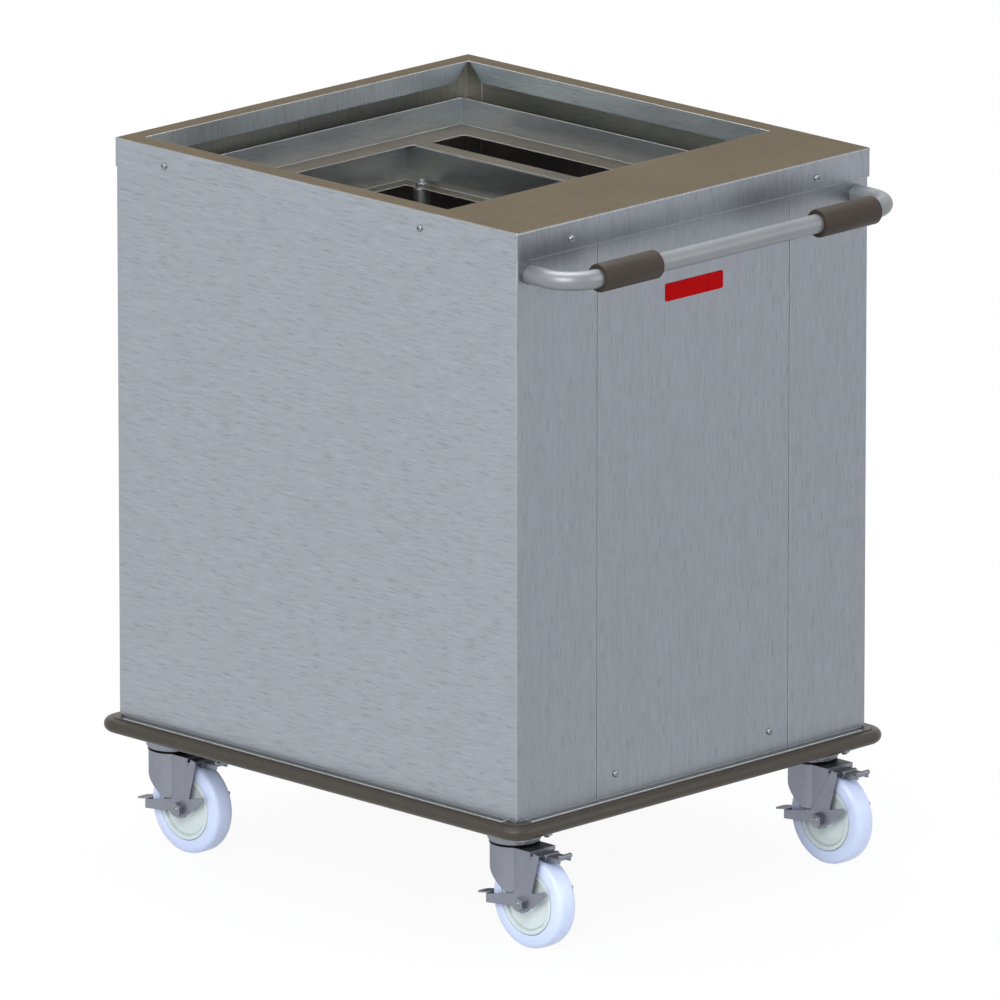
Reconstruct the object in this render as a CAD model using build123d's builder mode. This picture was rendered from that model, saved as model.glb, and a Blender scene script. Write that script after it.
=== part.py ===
from build123d import *
import os
from math import cos, radians, sin

# Cabinet shell
cabinet_width = 660.0
cabinet_depth = 746.0
cabinet_height = 790.0
sheet = 1.5
deck_bend = 2.5
panel_bend = 3.0
skirt_depth = 39.5
corner_slit = 0.8
rim_width = 28.5
wide_deck = 155.0
rim_flange = 27.0
rear_return = 28.0
access_width = 360.0
seam_gap = 1.2
seam_flange = 18.0
access_top_gap = 10.0

# Base, bumper rail and bumper
base_floor = 2.5
base_wall = 2.0
base_flange_height = 48.0
base_corner = 8.0
base_wall_height = 25.0
rail_under_panel = 1.0
rail_sheet = 1.5
rail_lip = 11.0
rail_from_corner = 17.0
bumper_reach = 25.0
bumper_bead = 18.5
bumper_round = 9.2
bumper_flange = 2.0

# Push handle, grips and nameplate
tube_diameter = 25.4
tube_wall = 1.6
handle_reach = 76.0
handle_from_side = 25.0
handle_bend = 45.0
handle_drop = 59.0
grip_diameter = 38.0
grip_length = 105.0
grip_from_bend = 3.0
grip_round = 1.5
backing_width = 40.0
backing_height = 60.0
backing_thickness = 3.0
tube_past_backing = 2.0
nameplate_width = 107.0
nameplate_height = 24.0
nameplate_thickness = 1.0
nameplate_corner = 3.0
nameplate_drop = 77.5

# Screws of the deck and of the access panel
screw_diameter = 5.0
screw_length = 9.0
screw_head_diameter = 9.5
screw_head_height = 3.0
screw_head_round = 1.8
screw_recess = 1.4
deck_screw_drop = 24.0
side_screw_front = 178.0
side_screw_rear = 92.0
end_screw_from_side = 100.0
access_screw_from_seam = 35.0
access_screw_rise = 28.0

# Castors
wheel_diameter = 127.0
wheel_width = 32.0
wheel_shoulder = 4.0
castor_from_side = 49.0
castor_from_end = 53.0
castor_over_wheel = 30.0
castor_trail = 37.0
castor_plate_edge = 11.0
castor_plate_corner = 6.0
castor_plate_thickness = 3.5
castor_bolt_spacing_x = 45.0
castor_bolt_past_race = 2.0
castor_bolt_diameter = 8.0
castor_bolt_flats = 13.0
castor_bolt_head = 5.3
castor_nut_height = 6.5
castor_bolt_tail = 2.5
race_radius = 33.5
race_height = 17.5
race_round = 1.0
race_collar = 2.0
race_collar_rise = 5.5
kingpin_radius = 8.0
kingpin_head_radius = 12.0
kingpin_head_height = 3.5
fork_inside_race = 1.0
fork_sheet = 3.0
fork_crown = 5.0
leg_spread = 41.0
fork_eye = 13.0
fork_front_drop = 24.0
fork_front_round = 20.0
fork_rear_round = 12.0
fork_crown_rear = 52.0
fork_leg_front = 25.0
fork_over_brake = 1.0
hub_radius = 45.0
hub_web = 24.0
hub_rim = 6.5
hub_rim_inset = 0.5
hub_boss_radius = 14.0
axle_diameter = 10.0
axle_bush_radius = 7.5
axle_head_flats = 17.0
axle_head_height = 6.4
axle_nut_height = 8.0
axle_tail = 1.5

# Castor brake: a stamped frame on the axle and a pedal over the tread
brake_sheet = 2.0
brake_bar_height = 11.0
brake_front_gap = 4.0
brake_bend = 9.0
brake_front_drop = 6.4
brake_tab_length = 28.0
brake_tab_width = 20.0
brake_tab_corner = 6.0
brake_tab_dip = 5.0
brake_lobe_length = 43.0
brake_lobe_rise = 20.3
brake_lobe_round = 3.0
brake_lobe_low = 3.1
brake_arm_front = 15.0
brake_arm_front_rise = 11.0
brake_arm_rear = 19.0
brake_arm_rear_rise = 17.0
brake_arm_before_pin = 5.5
brake_arm_past_pin = 2.0
brake_arm_over_pin = 7.0
brake_arm_end_rise = 5.0
cross_bar_end = 15.0
cross_bar_past = 9.0
ear_gap = 0.3
ear_foot = 3.0
brake_pin_diameter = 5.0
brake_pin_over_tread = 8.1
brake_pin_angle = 24.0
pedal_hub_radius = 4.5
pedal_sheet = 2.5
pedal_width = 22.0
pedal_height = 5.6
pedal_over_pin = 2.4
pedal_length = 27.0
pedal_rod = 6.0
pedal_rod_length = 21.0
pedal_rod_rise = 4.7
shoe_gap = 4.0
shoe_thickness = 3.0
shoe_width = 18.0
shoe_arc = 7.0

# Carriage: tray pan, well, posts, arms and back plate
pan_side_gap = 28.5
pan_front_gap = 7.5
pan_rear_gap = 15.0
pan_drop = 43.0
pan_upstand = 36.0
slot_margin_side = 40.0
slot_margin_end = 46.0
slot_width = 63.0
slot_bar = 25.0
well_margin_end = 38.0
pan_corner = 3.0
well_setback = 15.0
well_depth = 52.0
well_flange = 20.0
well_top_flange = 12.0
post_diameter = 22.0
post_height = 70.0
post_from_side = 12.0
post_from_end = 42.0
stud_diameter = 8.0
stud_rise = 10.0
stud_tail = 2.0
stud_round = 1.5
stud_nut_flats = 13.0
stud_nut_height = 5.0
arm_width = 36.0
arm_height = 40.0
arm_wall = 2.5
arm_past_post = 18.0
arm_to_channel = 10.5
back_plate_sheet = 3.0
back_plate_height = 261.0
back_plate_side = 25.0
back_plate_behind = 13.0
back_plate_side_gap = 4.0
stop_flange = 24.0
anchor_rise = 60.0

# Guide channels, rollers, hanger bar, buffers and springs
channel_from_front = 112.0
channel_width = 25.0
channel_inside = 33.0
channel_wall = 2.5
roller_diameter = 32.0
roller_width = 14.0
roller_axle_diameter = 8.0
roller_collar_diameter = 12.0
roller_axle_nut = 6.0
roller_axle_end = 1.0
roller_round = 1.0
roller_web_gap = 4.5
upper_roller_drop = 61.0
roller_spacing = 160.0
hanger_drop = 57.0
hanger_sheet = 3.0
hanger_front = 36.0
hanger_flange = 27.0
buffer_diameter = 20.0
buffer_height = 14.0
buffer_spacing = 200.0
spring_count = 6
spring_pitch = 44.0
spring_diameter = 22.0
spring_wire = 2.5
spring_from_channel = 21.0

# Clearances
running_gap = 0.3
shaft_gap = 0.05
hole_gap = 0.1
sleeve_gap = 0.1

# Places worked out from the sizes above; the origin is under the middle of the whole outline
base_bottom = wheel_diameter + castor_over_wheel
base_top = base_bottom + base_floor
panel_bottom = base_bottom + base_wall_height
rail_top = panel_bottom - rail_under_panel
deck_top = panel_bottom + cabinet_height
cabinet_y = (handle_reach + grip_diameter / 2 - bumper_reach) / 2
front_y = cabinet_y - cabinet_depth / 2
back_y = cabinet_y + cabinet_depth / 2
face_x = cabinet_width / 2 - sheet
face_front = front_y + sheet
face_back = back_y - sheet
face_depth = face_back - face_front
panel_top = deck_top - sheet
opening_width = cabinet_width - 2 * rim_width
opening_front = front_y + wide_deck
opening_back = back_y - rim_width
opening_depth = opening_back - opening_front
opening_y = (opening_front + opening_back) / 2
opening_corners = [
    (-opening_width / 2, opening_front),
    (opening_width / 2, opening_front),
    (-opening_width / 2, opening_back),
    (opening_width / 2, opening_back),
]
seam_x = access_width / 2
base_flange_top = panel_bottom + base_flange_height
deck_screw_z = deck_top - deck_screw_drop
access_screw_z = panel_bottom + access_screw_rise
handle_x = cabinet_width / 2 - handle_from_side
handle_z = deck_top - handle_drop


def rectangle_between(x0, y0, x1, y1, mode=Mode.ADD):
    """A rectangle from one corner to the other, in the open sketch."""
    with Locations(((x0 + x1) / 2, (y0 + y1) / 2)):
        Rectangle(x1 - x0, y1 - y0, mode=mode)


def face_outline(grow, corner):
    """The outline of the panel faces, grown outwards, in the open sketch."""
    with Locations((0, cabinet_y)):
        if corner > 0:
            RectangleRounded(2 * (face_x + grow), face_depth + 2 * grow, corner)
        else:
            Rectangle(2 * (face_x + grow), face_depth + 2 * grow)


def save(piece, name):
    """Label a finished piece and write its STEP file."""
    piece.label = name
    export_step(piece, f"parts/{name}.step")


os.makedirs("parts", exist_ok=True)

# One pan-head screw, its head upwards, seated at z = 0
with BuildPart() as screw:
    Cylinder(screw_diameter / 2, screw_length, align=(Align.CENTER, Align.CENTER, Align.MAX))
    Cylinder(
        screw_head_diameter / 2, screw_head_height, align=(Align.CENTER, Align.CENTER, Align.MIN)
    )
    fillet(screw.edges().group_by(Axis.Z)[-1], screw_head_round)
    with BuildSketch(Plane.XY.offset(screw_head_height)):
        Rectangle(screw_diameter, screw_recess)
        Rectangle(screw_recess, screw_diameter)
    extrude(amount=-screw_recess, mode=Mode.SUBTRACT)

# Where each screw sits: its place and the turn that points its head outwards
side_screw_ys = (front_y + side_screw_front, back_y - side_screw_rear)
end_screw_x = cabinet_width / 2 - end_screw_from_side
access_screw_x = seam_x - access_screw_from_seam
left_screws = [Location((-cabinet_width / 2, y, deck_screw_z), (0, -90, 0)) for y in side_screw_ys]
right_screws = [Location((cabinet_width / 2, y, deck_screw_z), (0, 90, 0)) for y in side_screw_ys]
front_screws = [Location((side * end_screw_x, front_y, deck_screw_z), (90, 0, 0)) for side in (-1, 1)]
rear_screws = [Location((side * end_screw_x, back_y, deck_screw_z), (-90, 0, 0)) for side in (-1, 1)]
access_screws = [
    Location((side * access_screw_x, face_front, access_screw_z), (90, 0, 0)) for side in (-1, 1)
]
deck_screw_places = left_screws + right_screws + front_screws + rear_screws


def screw_holes(places):
    """Clearance holes for screws, cut from the open part."""
    with Locations(*places):
        Cylinder(screw_diameter / 2 + hole_gap, 2 * screw_length, mode=Mode.SUBTRACT)


# Top deck: a flat top with a tray opening, an outer skirt and notched inner flanges
with BuildPart() as top_deck:
    with BuildSketch(Plane.XY.offset(deck_top - rim_flange)):
        with Locations((0, opening_y)):
            Rectangle(opening_width + 2 * sheet, opening_depth + 2 * sheet)
            Rectangle(opening_width, opening_depth, mode=Mode.SUBTRACT)
    extrude(amount=rim_flange - sheet)
    with BuildSketch(Plane.XY.offset(deck_top - rim_flange)):
        with Locations(*opening_corners):
            Rectangle(2 * rim_flange, 2 * rim_flange)
    extrude(amount=rim_flange - sheet, taper=45, mode=Mode.SUBTRACT)
    with BuildSketch(Plane.XY.offset(deck_top - skirt_depth)):
        face_outline(sheet, 0)
        with Locations((0, cabinet_y)):
            Rectangle(2 * face_x, face_depth, mode=Mode.SUBTRACT)
    extrude(amount=skirt_depth)
    with BuildSketch(Plane.XY.offset(deck_top - sheet)):
        face_outline(sheet, 0)
        with Locations((0, opening_y)):
            Rectangle(opening_width, opening_depth, mode=Mode.SUBTRACT)
    extrude(amount=sheet)
    deck_edges = top_deck.faces().sort_by(Axis.Z)[-1].outer_wire().edges()
    fillet(deck_edges, deck_bend)
    slit_height = skirt_depth - deck_bend - sheet
    for side in (-1, 1):
        for end, corner_y in ((-1, front_y), (1, back_y)):
            slit_place = (side * cabinet_width / 2, corner_y, deck_top - skirt_depth)
            with Locations(Location(slit_place, (0, 0, 45 * side * end))):
                Box(
                    6 * sheet,
                    corner_slit,
                    slit_height,
                    align=(Align.CENTER, Align.CENTER, Align.MIN),
                    mode=Mode.SUBTRACT,
                )
    screw_holes(deck_screw_places)
save(top_deck.part, "top_deck")

# Left side panel: the side, its return on the handle end and the flange at the seam
with BuildPart() as left_side_panel:
    with BuildSketch(Plane.XY.offset(panel_bottom)):
        rectangle_between(-face_x, face_front, -face_x + sheet, face_back)
        rectangle_between(-face_x, face_front, -seam_x - seam_gap / 2, face_front + sheet)
    extrude(amount=panel_top - panel_bottom)
    near_corner = left_side_panel.edges().filter_by(Axis.Z).group_by(Axis.X)[0].sort_by(Axis.Y)[0]
    fillet(near_corner, panel_bend)
    with BuildSketch(Plane.XY.offset(base_flange_top + running_gap)):
        rectangle_between(
            -seam_x - seam_gap / 2 - sheet,
            face_front + sheet,
            -seam_x - seam_gap / 2,
            face_front + sheet + seam_flange,
        )
    extrude(amount=deck_top - skirt_depth - base_flange_top)
    screw_holes(left_screws + front_screws)
    with Locations(Location((-handle_x, face_front, handle_z), (90, 0, 0))):
        Cylinder(tube_diameter / 2 + hole_gap, 4 * sheet, mode=Mode.SUBTRACT)
save(left_side_panel.part, "left_side_panel")

# Right side panel: the mirror of the left one
with BuildPart() as right_side_panel:
    mirror(left_side_panel.part, about=Plane.YZ)
save(right_side_panel.part, "right_side_panel")

# Rear panel: between the side panels, with returns along their insides
with BuildPart() as rear_panel:
    with BuildSketch(Plane.XY.offset(panel_bottom)):
        rectangle_between(-face_x + sheet, face_back - sheet, face_x - sheet, face_back)
        rectangle_between(-face_x + sheet, face_back - rear_return, -face_x + 2 * sheet, face_back)
        rectangle_between(face_x - 2 * sheet, face_back - rear_return, face_x - sheet, face_back)
    extrude(amount=panel_top - panel_bottom)
    rear_corners = rear_panel.edges().filter_by(Axis.Z).group_by(Axis.Y)[-1]
    fillet(rear_corners, panel_bend)
    screw_holes(rear_screws)
save(rear_panel.part, "rear_panel")

# Access panel: the removable middle of the handle end, stiffened by two side flanges
with BuildPart() as access_panel:
    half_access = seam_x - seam_gap / 2
    with BuildSketch(Plane.XY.offset(panel_bottom)):
        rectangle_between(-half_access, face_front, half_access, face_front + sheet)
    extrude(amount=panel_top - access_top_gap - panel_bottom)
    with BuildSketch(Plane.XY.offset(base_flange_top + running_gap)):
        for side in (-1, 1):
            flange_x = side * (half_access - sheet / 2)
            rectangle_between(
                flange_x - sheet / 2,
                face_front + sheet,
                flange_x + sheet / 2,
                face_front + sheet + seam_flange,
            )
    extrude(amount=deck_top - skirt_depth - base_flange_top)
    screw_holes(access_screws)
save(access_panel.part, "access_panel")

# Castor places and their bolt holes
castor_bolt_spacing_y = 2 * (race_radius + race_collar + castor_bolt_past_race)
castor_out_x = cabinet_width / 2 - castor_from_side
castor_places = {
    "near_left": (-castor_out_x, front_y + castor_from_end),
    "near_right": (castor_out_x, front_y + castor_from_end),
    "far_left": (-castor_out_x, back_y - castor_from_end),
    "far_right": (castor_out_x, back_y - castor_from_end),
}

# Base frame: floor, outer wall that carries the panels, and an upturned inner flange
with BuildPart() as base_frame:
    with BuildSketch(Plane.XY.offset(base_bottom)):
        face_outline(0, base_corner)
    extrude(amount=base_floor)
    with BuildSketch(Plane.XY.offset(base_top)):
        face_outline(0, base_corner)
        with Locations((0, cabinet_y)):
            Rectangle(
                2 * (face_x - 2 * sheet - base_wall),
                face_depth - 2 * (2 * sheet + base_wall),
                mode=Mode.SUBTRACT,
            )
    extrude(amount=panel_bottom - base_top)
    with BuildSketch(Plane.XY.offset(panel_bottom)):
        face_outline(-2 * sheet, 0)
        with Locations((0, cabinet_y)):
            Rectangle(
                2 * (face_x - 2 * sheet - base_wall),
                face_depth - 2 * (2 * sheet + base_wall),
                mode=Mode.SUBTRACT,
            )
    extrude(amount=base_flange_height)
    screw_holes(access_screws)
    for castor_x, castor_y in castor_places.values():
        with Locations((castor_x, castor_y, base_bottom)):
            with GridLocations(castor_bolt_spacing_x, castor_bolt_spacing_y, 2, 2):
                Cylinder(castor_bolt_diameter / 2 + hole_gap, 4 * base_floor, mode=Mode.SUBTRACT)
save(base_frame.part, "base_frame")

# Bumper rail: four straight lengths of channel on the base's sides, stopping short of its corners
with BuildPart() as bumper_rail:
    for lip_z in (base_bottom, rail_top - rail_sheet):
        with BuildSketch(Plane.XY.offset(lip_z)):
            face_outline(rail_lip, 0)
        extrude(amount=rail_sheet)
    with BuildSketch(Plane.XY.offset(base_bottom)):
        face_outline(rail_sheet, 0)
    extrude(amount=rail_top - base_bottom)
    with BuildSketch(Plane.XY.offset(base_bottom)):
        face_outline(0, base_corner)
        with Locations((0, cabinet_y)):
            with GridLocations(2 * face_x, face_depth, 2, 2):
                Rectangle(2 * rail_from_corner, 2 * rail_from_corner)
    extrude(amount=rail_top - base_bottom, mode=Mode.SUBTRACT)
save(bumper_rail.part, "bumper_rail")

# Bumper: a rubber strip held between the rail's lips, with a round bead outside them
with BuildPart() as bumper:
    rail_middle = (base_bottom + rail_top) / 2
    with BuildSketch(Plane.XY.offset(rail_middle - bumper_bead / 2)):
        face_outline(bumper_reach, base_corner + bumper_reach)
    extrude(amount=bumper_bead)
    fillet(bumper.edges().group_by(Axis.Z)[0], bumper_round)
    fillet(bumper.edges().group_by(Axis.Z)[-1], bumper_round)
    with BuildSketch(Plane.XY.offset(base_bottom + rail_sheet)):
        face_outline(rail_lip + bumper_flange, base_corner + rail_lip + bumper_flange)
    extrude(amount=rail_top - base_bottom - 2 * rail_sheet)
    with BuildSketch(Plane.XY.offset(base_bottom)):
        face_outline(rail_sheet, base_corner + rail_sheet)
    extrude(amount=rail_top - base_bottom, mode=Mode.SUBTRACT)
save(bumper.part, "bumper")

# Handle tube: one bent tube that enters the handle end beside both corners
tube_inner_end = face_front + sheet + backing_thickness + tube_past_backing
handle_y = face_front - handle_reach
with BuildPart() as handle_tube:
    with BuildLine(Plane.XY.offset(handle_z)) as handle_path:
        FilletPolyline(
            (-handle_x, tube_inner_end),
            (-handle_x, handle_y),
            (handle_x, handle_y),
            (handle_x, tube_inner_end),
            radius=handle_bend,
        )
    with BuildSketch(Plane((-handle_x, tube_inner_end, handle_z), z_dir=(0, -1, 0))):
        Circle(tube_diameter / 2)
        Circle(tube_diameter / 2 - tube_wall, mode=Mode.SUBTRACT)
    sweep(path=handle_path.line)
save(handle_tube.part, "handle_tube")

# Grips: two sleeves at the ends of the handle's straight run
grip_centre = handle_x - handle_bend - grip_from_bend - grip_length / 2
with BuildPart() as handle_grips:
    with Locations(
        Location((-grip_centre, handle_y, handle_z), (0, 90, 0)),
        Location((grip_centre, handle_y, handle_z), (0, 90, 0)),
    ):
        Cylinder(grip_diameter / 2, grip_length)
    fillet(handle_grips.edges().filter_by(GeomType.CIRCLE), grip_round)
    with Locations(Location((0, handle_y, handle_z), (0, 90, 0))):
        Cylinder(tube_diameter / 2 + sleeve_gap, 2 * handle_x, mode=Mode.SUBTRACT)
save(handle_grips.part, "handle_grips")

# Backing plates: welded behind the panel returns, round the tube ends
with BuildPart() as handle_backing_plates:
    with Locations((-handle_x, 0, 0), (handle_x, 0, 0)):
        with Locations((0, face_front + sheet, handle_z)):
            Box(
                backing_width,
                backing_thickness,
                backing_height,
                align=(Align.CENTER, Align.MIN, Align.CENTER),
            )
    for side in (-1, 1):
        with Locations(Location((side * handle_x, face_front, handle_z), (90, 0, 0))):
            Cylinder(
                tube_diameter / 2 + hole_gap, 8 * backing_thickness, mode=Mode.SUBTRACT
            )
save(handle_backing_plates.part, "handle_backing_plates")

# Nameplate: a plain plate on the access panel, below the handle
nameplate_z = deck_top - skirt_depth - nameplate_drop - nameplate_height / 2
with BuildPart() as nameplate:
    with BuildSketch(Plane.XZ.offset(-face_front)):
        with Locations((0, nameplate_z)):
            RectangleRounded(nameplate_width, nameplate_height, nameplate_corner)
    extrude(amount=nameplate_thickness)
save(nameplate.part, "nameplate")

# Deck screws and access panel screws
with BuildPart() as deck_screws:
    with Locations(*deck_screw_places):
        add(screw.part)
save(deck_screws.part, "deck_screws")

with BuildPart() as access_panel_screws:
    with Locations(*access_screws):
        add(screw.part)
save(access_panel_screws.part, "access_panel_screws")

# One castor bolt and its nut, about the base floor's top
bolt_grip = base_floor + castor_plate_thickness
with BuildPart() as castor_bolt:
    with BuildSketch():
        RegularPolygon(castor_bolt_flats / 2, 6, major_radius=False)
    extrude(amount=castor_bolt_head)
    Cylinder(
        castor_bolt_diameter / 2,
        bolt_grip + castor_nut_height + castor_bolt_tail,
        align=(Align.CENTER, Align.CENTER, Align.MAX),
    )
with BuildPart() as castor_nut:
    with BuildSketch(Plane.XY.offset(-bolt_grip)):
        RegularPolygon(castor_bolt_flats / 2, 6, major_radius=False)
        Circle(castor_bolt_diameter / 2 + shaft_gap, mode=Mode.SUBTRACT)
    extrude(amount=-castor_nut_height)

# Castor bolts: heads on the base floor, nuts under the castor plates
castor_bolt_places = [
    Location(
        (
            castor_x + across * castor_bolt_spacing_x / 2,
            castor_y + along * castor_bolt_spacing_y / 2,
            base_top,
        )
    )
    for castor_x, castor_y in castor_places.values()
    for across in (-1, 1)
    for along in (-1, 1)
]
with BuildPart() as castor_bolts:
    with Locations(*castor_bolt_places):
        add(castor_bolt.part)
        add(castor_nut.part)
save(castor_bolts.part, "castor_bolts")

# The castor's own pieces are made about its swivel axis, the floor at z = 0
axle_z = wheel_diameter / 2
plate_bottom = base_bottom - castor_plate_thickness
race_bottom = plate_bottom - race_height
crown_top = race_bottom - running_gap
crown_bottom = crown_top - fork_crown
leg_inner = leg_spread / 2
leg_outer = leg_inner + fork_sheet
brake_outer = leg_outer + brake_sheet
axle_y = -castor_trail
fork_radius = race_radius - fork_inside_race
leg_flat_y = -((fork_radius**2 - leg_outer**2) ** 0.5) - running_gap
pin_radius = axle_z + brake_pin_over_tread
pin_y = axle_y - pin_radius * sin(radians(brake_pin_angle))
pin_z = axle_z + pin_radius * cos(radians(brake_pin_angle))

# Castor plate: top plate, upper race and the kingpin that carries the fork
with BuildPart() as castor_plate:
    with BuildSketch(Plane.XY.offset(plate_bottom)):
        RectangleRounded(
            castor_bolt_spacing_x + 2 * castor_plate_edge,
            castor_bolt_spacing_y + 2 * castor_plate_edge,
            castor_plate_corner,
        )
        with GridLocations(castor_bolt_spacing_x, castor_bolt_spacing_y, 2, 2):
            Circle(castor_bolt_diameter / 2 + hole_gap, mode=Mode.SUBTRACT)
    extrude(amount=castor_plate_thickness)
    with BuildSketch(Plane.XY.offset(race_bottom + race_collar_rise)):
        Circle(race_radius + race_collar)
    extrude(amount=race_height - race_collar_rise)
    collar_rim = castor_plate.edges().filter_by(GeomType.CIRCLE).group_by(Axis.Z)[0]
    fillet(collar_rim, race_round)
    with BuildSketch(Plane.XY.offset(race_bottom)):
        Circle(race_radius)
    extrude(amount=race_collar_rise)
    with BuildSketch(Plane.XY.offset(race_bottom)):
        Circle(kingpin_radius)
    extrude(amount=-(2 * running_gap + fork_crown))
    with BuildSketch(Plane.XY.offset(crown_bottom - running_gap)):
        Circle(kingpin_head_radius)
    extrude(amount=-kingpin_head_height)

# Castor fork: a round-fronted shell whose two legs run back to the axle
with BuildPart() as castor_fork:
    with BuildSketch(Plane.XY.offset(axle_z - fork_eye)):
        Circle(fork_radius)
        rectangle_between(-leg_outer, -fork_crown_rear, leg_outer, 0)
        Circle(fork_radius - fork_sheet, mode=Mode.SUBTRACT)
        rectangle_between(-leg_inner, -fork_crown_rear, leg_inner, 0, mode=Mode.SUBTRACT)
    extrude(amount=crown_top - axle_z + fork_eye)
    with BuildSketch(Plane.XY.offset(crown_bottom)):
        Circle(fork_radius)
        rectangle_between(-leg_outer, -fork_crown_rear, leg_outer, 0)
    extrude(amount=fork_crown)
    with BuildSketch(Plane.YZ) as fork_profile:
        with BuildLine():
            FilletPolyline(
                (fork_radius, crown_top),
                (fork_radius, crown_top - fork_front_drop),
                (axle_y + fork_leg_front, axle_z + fork_eye),
                (leg_flat_y, axle_z + brake_arm_front_rise + fork_over_brake),
                radius=(fork_front_round, fork_rear_round),
            )
            Polyline(
                (leg_flat_y, axle_z + brake_arm_front_rise + fork_over_brake),
                (axle_y + fork_eye, axle_z),
                (axle_y - fork_eye, axle_z),
                (-fork_crown_rear, crown_top),
                (fork_radius, crown_top),
            )
        make_face()
        with Locations((axle_y, axle_z)):
            Circle(fork_eye)
    extrude(amount=2 * fork_radius, both=True, mode=Mode.INTERSECT)
    with BuildSketch(Plane.YZ):
        with Locations((axle_y, axle_z)):
            Circle(axle_diameter / 2 + shaft_gap)
    extrude(amount=2 * fork_radius, both=True, mode=Mode.SUBTRACT)
    with BuildSketch(Plane.XY.offset(crown_bottom)):
        Circle(kingpin_radius + shaft_gap)
    extrude(amount=fork_crown, mode=Mode.SUBTRACT)

# Brake frame: a strip bent round the wheel's front, with a sloping tab and a lobe on each side
brake_front = axle_y + axle_z + brake_front_gap + brake_sheet
bar_bottom = axle_z - brake_front_drop - brake_bar_height / 2
bar_top = bar_bottom + brake_bar_height
lobe_y = axle_y - brake_lobe_length
lobe_z = axle_z + brake_lobe_rise
strip_back = lobe_y - 2 * brake_lobe_round
pedal_half = pedal_width / 2
ear_inside = pedal_half + ear_gap
cross_bar_back = -fork_crown_rear - cross_bar_past
with BuildPart() as castor_brake_frame:
    with BuildSketch(Plane.XY.offset(axle_z - fork_eye)) as strip_outside:
        rectangle_between(-brake_outer, strip_back, brake_outer, brake_front)
        fillet(strip_outside.vertices().group_by(Axis.Y)[-1], brake_bend)
    extrude(amount=fork_eye + brake_lobe_rise + brake_lobe_round)
    with BuildSketch(Plane.XY.offset(axle_z - fork_eye)) as strip_inside:
        rectangle_between(-leg_outer, strip_back, leg_outer, brake_front - brake_sheet)
        fillet(strip_inside.vertices().group_by(Axis.Y)[-1], brake_bend - brake_sheet)
    extrude(amount=2 * axle_z, mode=Mode.SUBTRACT)
    with BuildSketch(Plane.YZ):
        with Locations((axle_y, axle_z)):
            Circle(fork_eye)
        with BuildLine():
            Polyline(
                (brake_front, bar_top),
                (axle_y + brake_arm_front, axle_z + brake_arm_front_rise),
                (axle_y - brake_arm_rear, axle_z + brake_arm_rear_rise),
                (lobe_y, lobe_z + brake_lobe_round),
                (lobe_y, lobe_z - brake_lobe_round),
                (axle_y - brake_arm_rear, axle_z - brake_lobe_low),
                (axle_y, axle_z - fork_eye),
                (axle_y + brake_arm_rear, bar_bottom + brake_bar_height / 2),
                (brake_front, bar_bottom),
                (brake_front, bar_top),
            )
        make_face()
        with Locations((lobe_y, lobe_z)):
            Circle(brake_lobe_round)
    extrude(amount=2 * brake_outer, both=True, mode=Mode.INTERSECT)
    # The arm on the left side, the cross bar that it carries behind the crown, and the pin's two ears
    with BuildSketch(Plane.YZ.offset(-leg_outer)):
        with BuildLine():
            Polyline(
                (axle_y + brake_arm_front, axle_z + brake_arm_front_rise),
                (pin_y + brake_arm_before_pin, pin_z + brake_arm_over_pin),
                (pin_y - brake_arm_past_pin, pin_z + brake_arm_end_rise),
                (pin_y - brake_arm_past_pin, pin_z),
                (axle_y - brake_arm_rear, axle_z + brake_arm_rear_rise),
                (axle_y + brake_arm_front, axle_z + brake_arm_front_rise),
            )
        make_face()
    extrude(amount=-brake_sheet)
    with BuildSketch(Plane.XY.offset(crown_bottom)):
        rectangle_between(
            -brake_outer, cross_bar_back, cross_bar_end, -fork_crown_rear - running_gap
        )
    extrude(amount=-brake_sheet)
    for side in (-1, 1):
        with BuildSketch(Plane.YZ.offset(side * (ear_inside + brake_sheet / 2))):
            with Locations((pin_y, pin_z)):
                Circle(pedal_hub_radius)
            with BuildLine():
                Polyline(
                    (pin_y, pin_z - pedal_hub_radius),
                    (cross_bar_back + ear_foot, crown_bottom - brake_sheet),
                    (cross_bar_back + ear_foot, crown_bottom),
                    (pin_y, crown_bottom),
                    (pin_y, pin_z - pedal_hub_radius),
                )
            make_face()
        extrude(amount=brake_sheet / 2, both=True)
    with BuildSketch(Plane.YZ):
        with Locations((pin_y, pin_z)):
            Circle(brake_pin_diameter / 2)
    extrude(amount=ear_inside + brake_sheet, both=True)
    with BuildSketch(Plane.YZ):
        with Locations((axle_y, axle_z)):
            Circle(axle_diameter / 2 + shaft_gap)
    extrude(amount=2 * brake_outer, both=True, mode=Mode.SUBTRACT)
    with BuildPart(mode=Mode.PRIVATE) as brake_tab:
        tab_tip = brake_front + brake_tab_length
        with BuildSketch(Plane.YZ):
            with BuildLine():
                Polyline(
                    (brake_front - brake_sheet, bar_top),
                    (brake_front, bar_top),
                    (tab_tip, bar_top - brake_tab_dip),
                    (tab_tip, bar_top - brake_tab_dip - brake_sheet),
                    (brake_front, bar_top - brake_sheet),
                    (brake_front - brake_sheet, bar_top - brake_sheet),
                    (brake_front - brake_sheet, bar_top),
                )
            make_face()
        extrude(amount=brake_tab_width / 2, both=True)
        tab_corners = brake_tab.edges().filter_by(Axis.Z).group_by(Axis.Y)[-1]
        fillet(tab_corners, brake_tab_corner)
    add(brake_tab.part)

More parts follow.
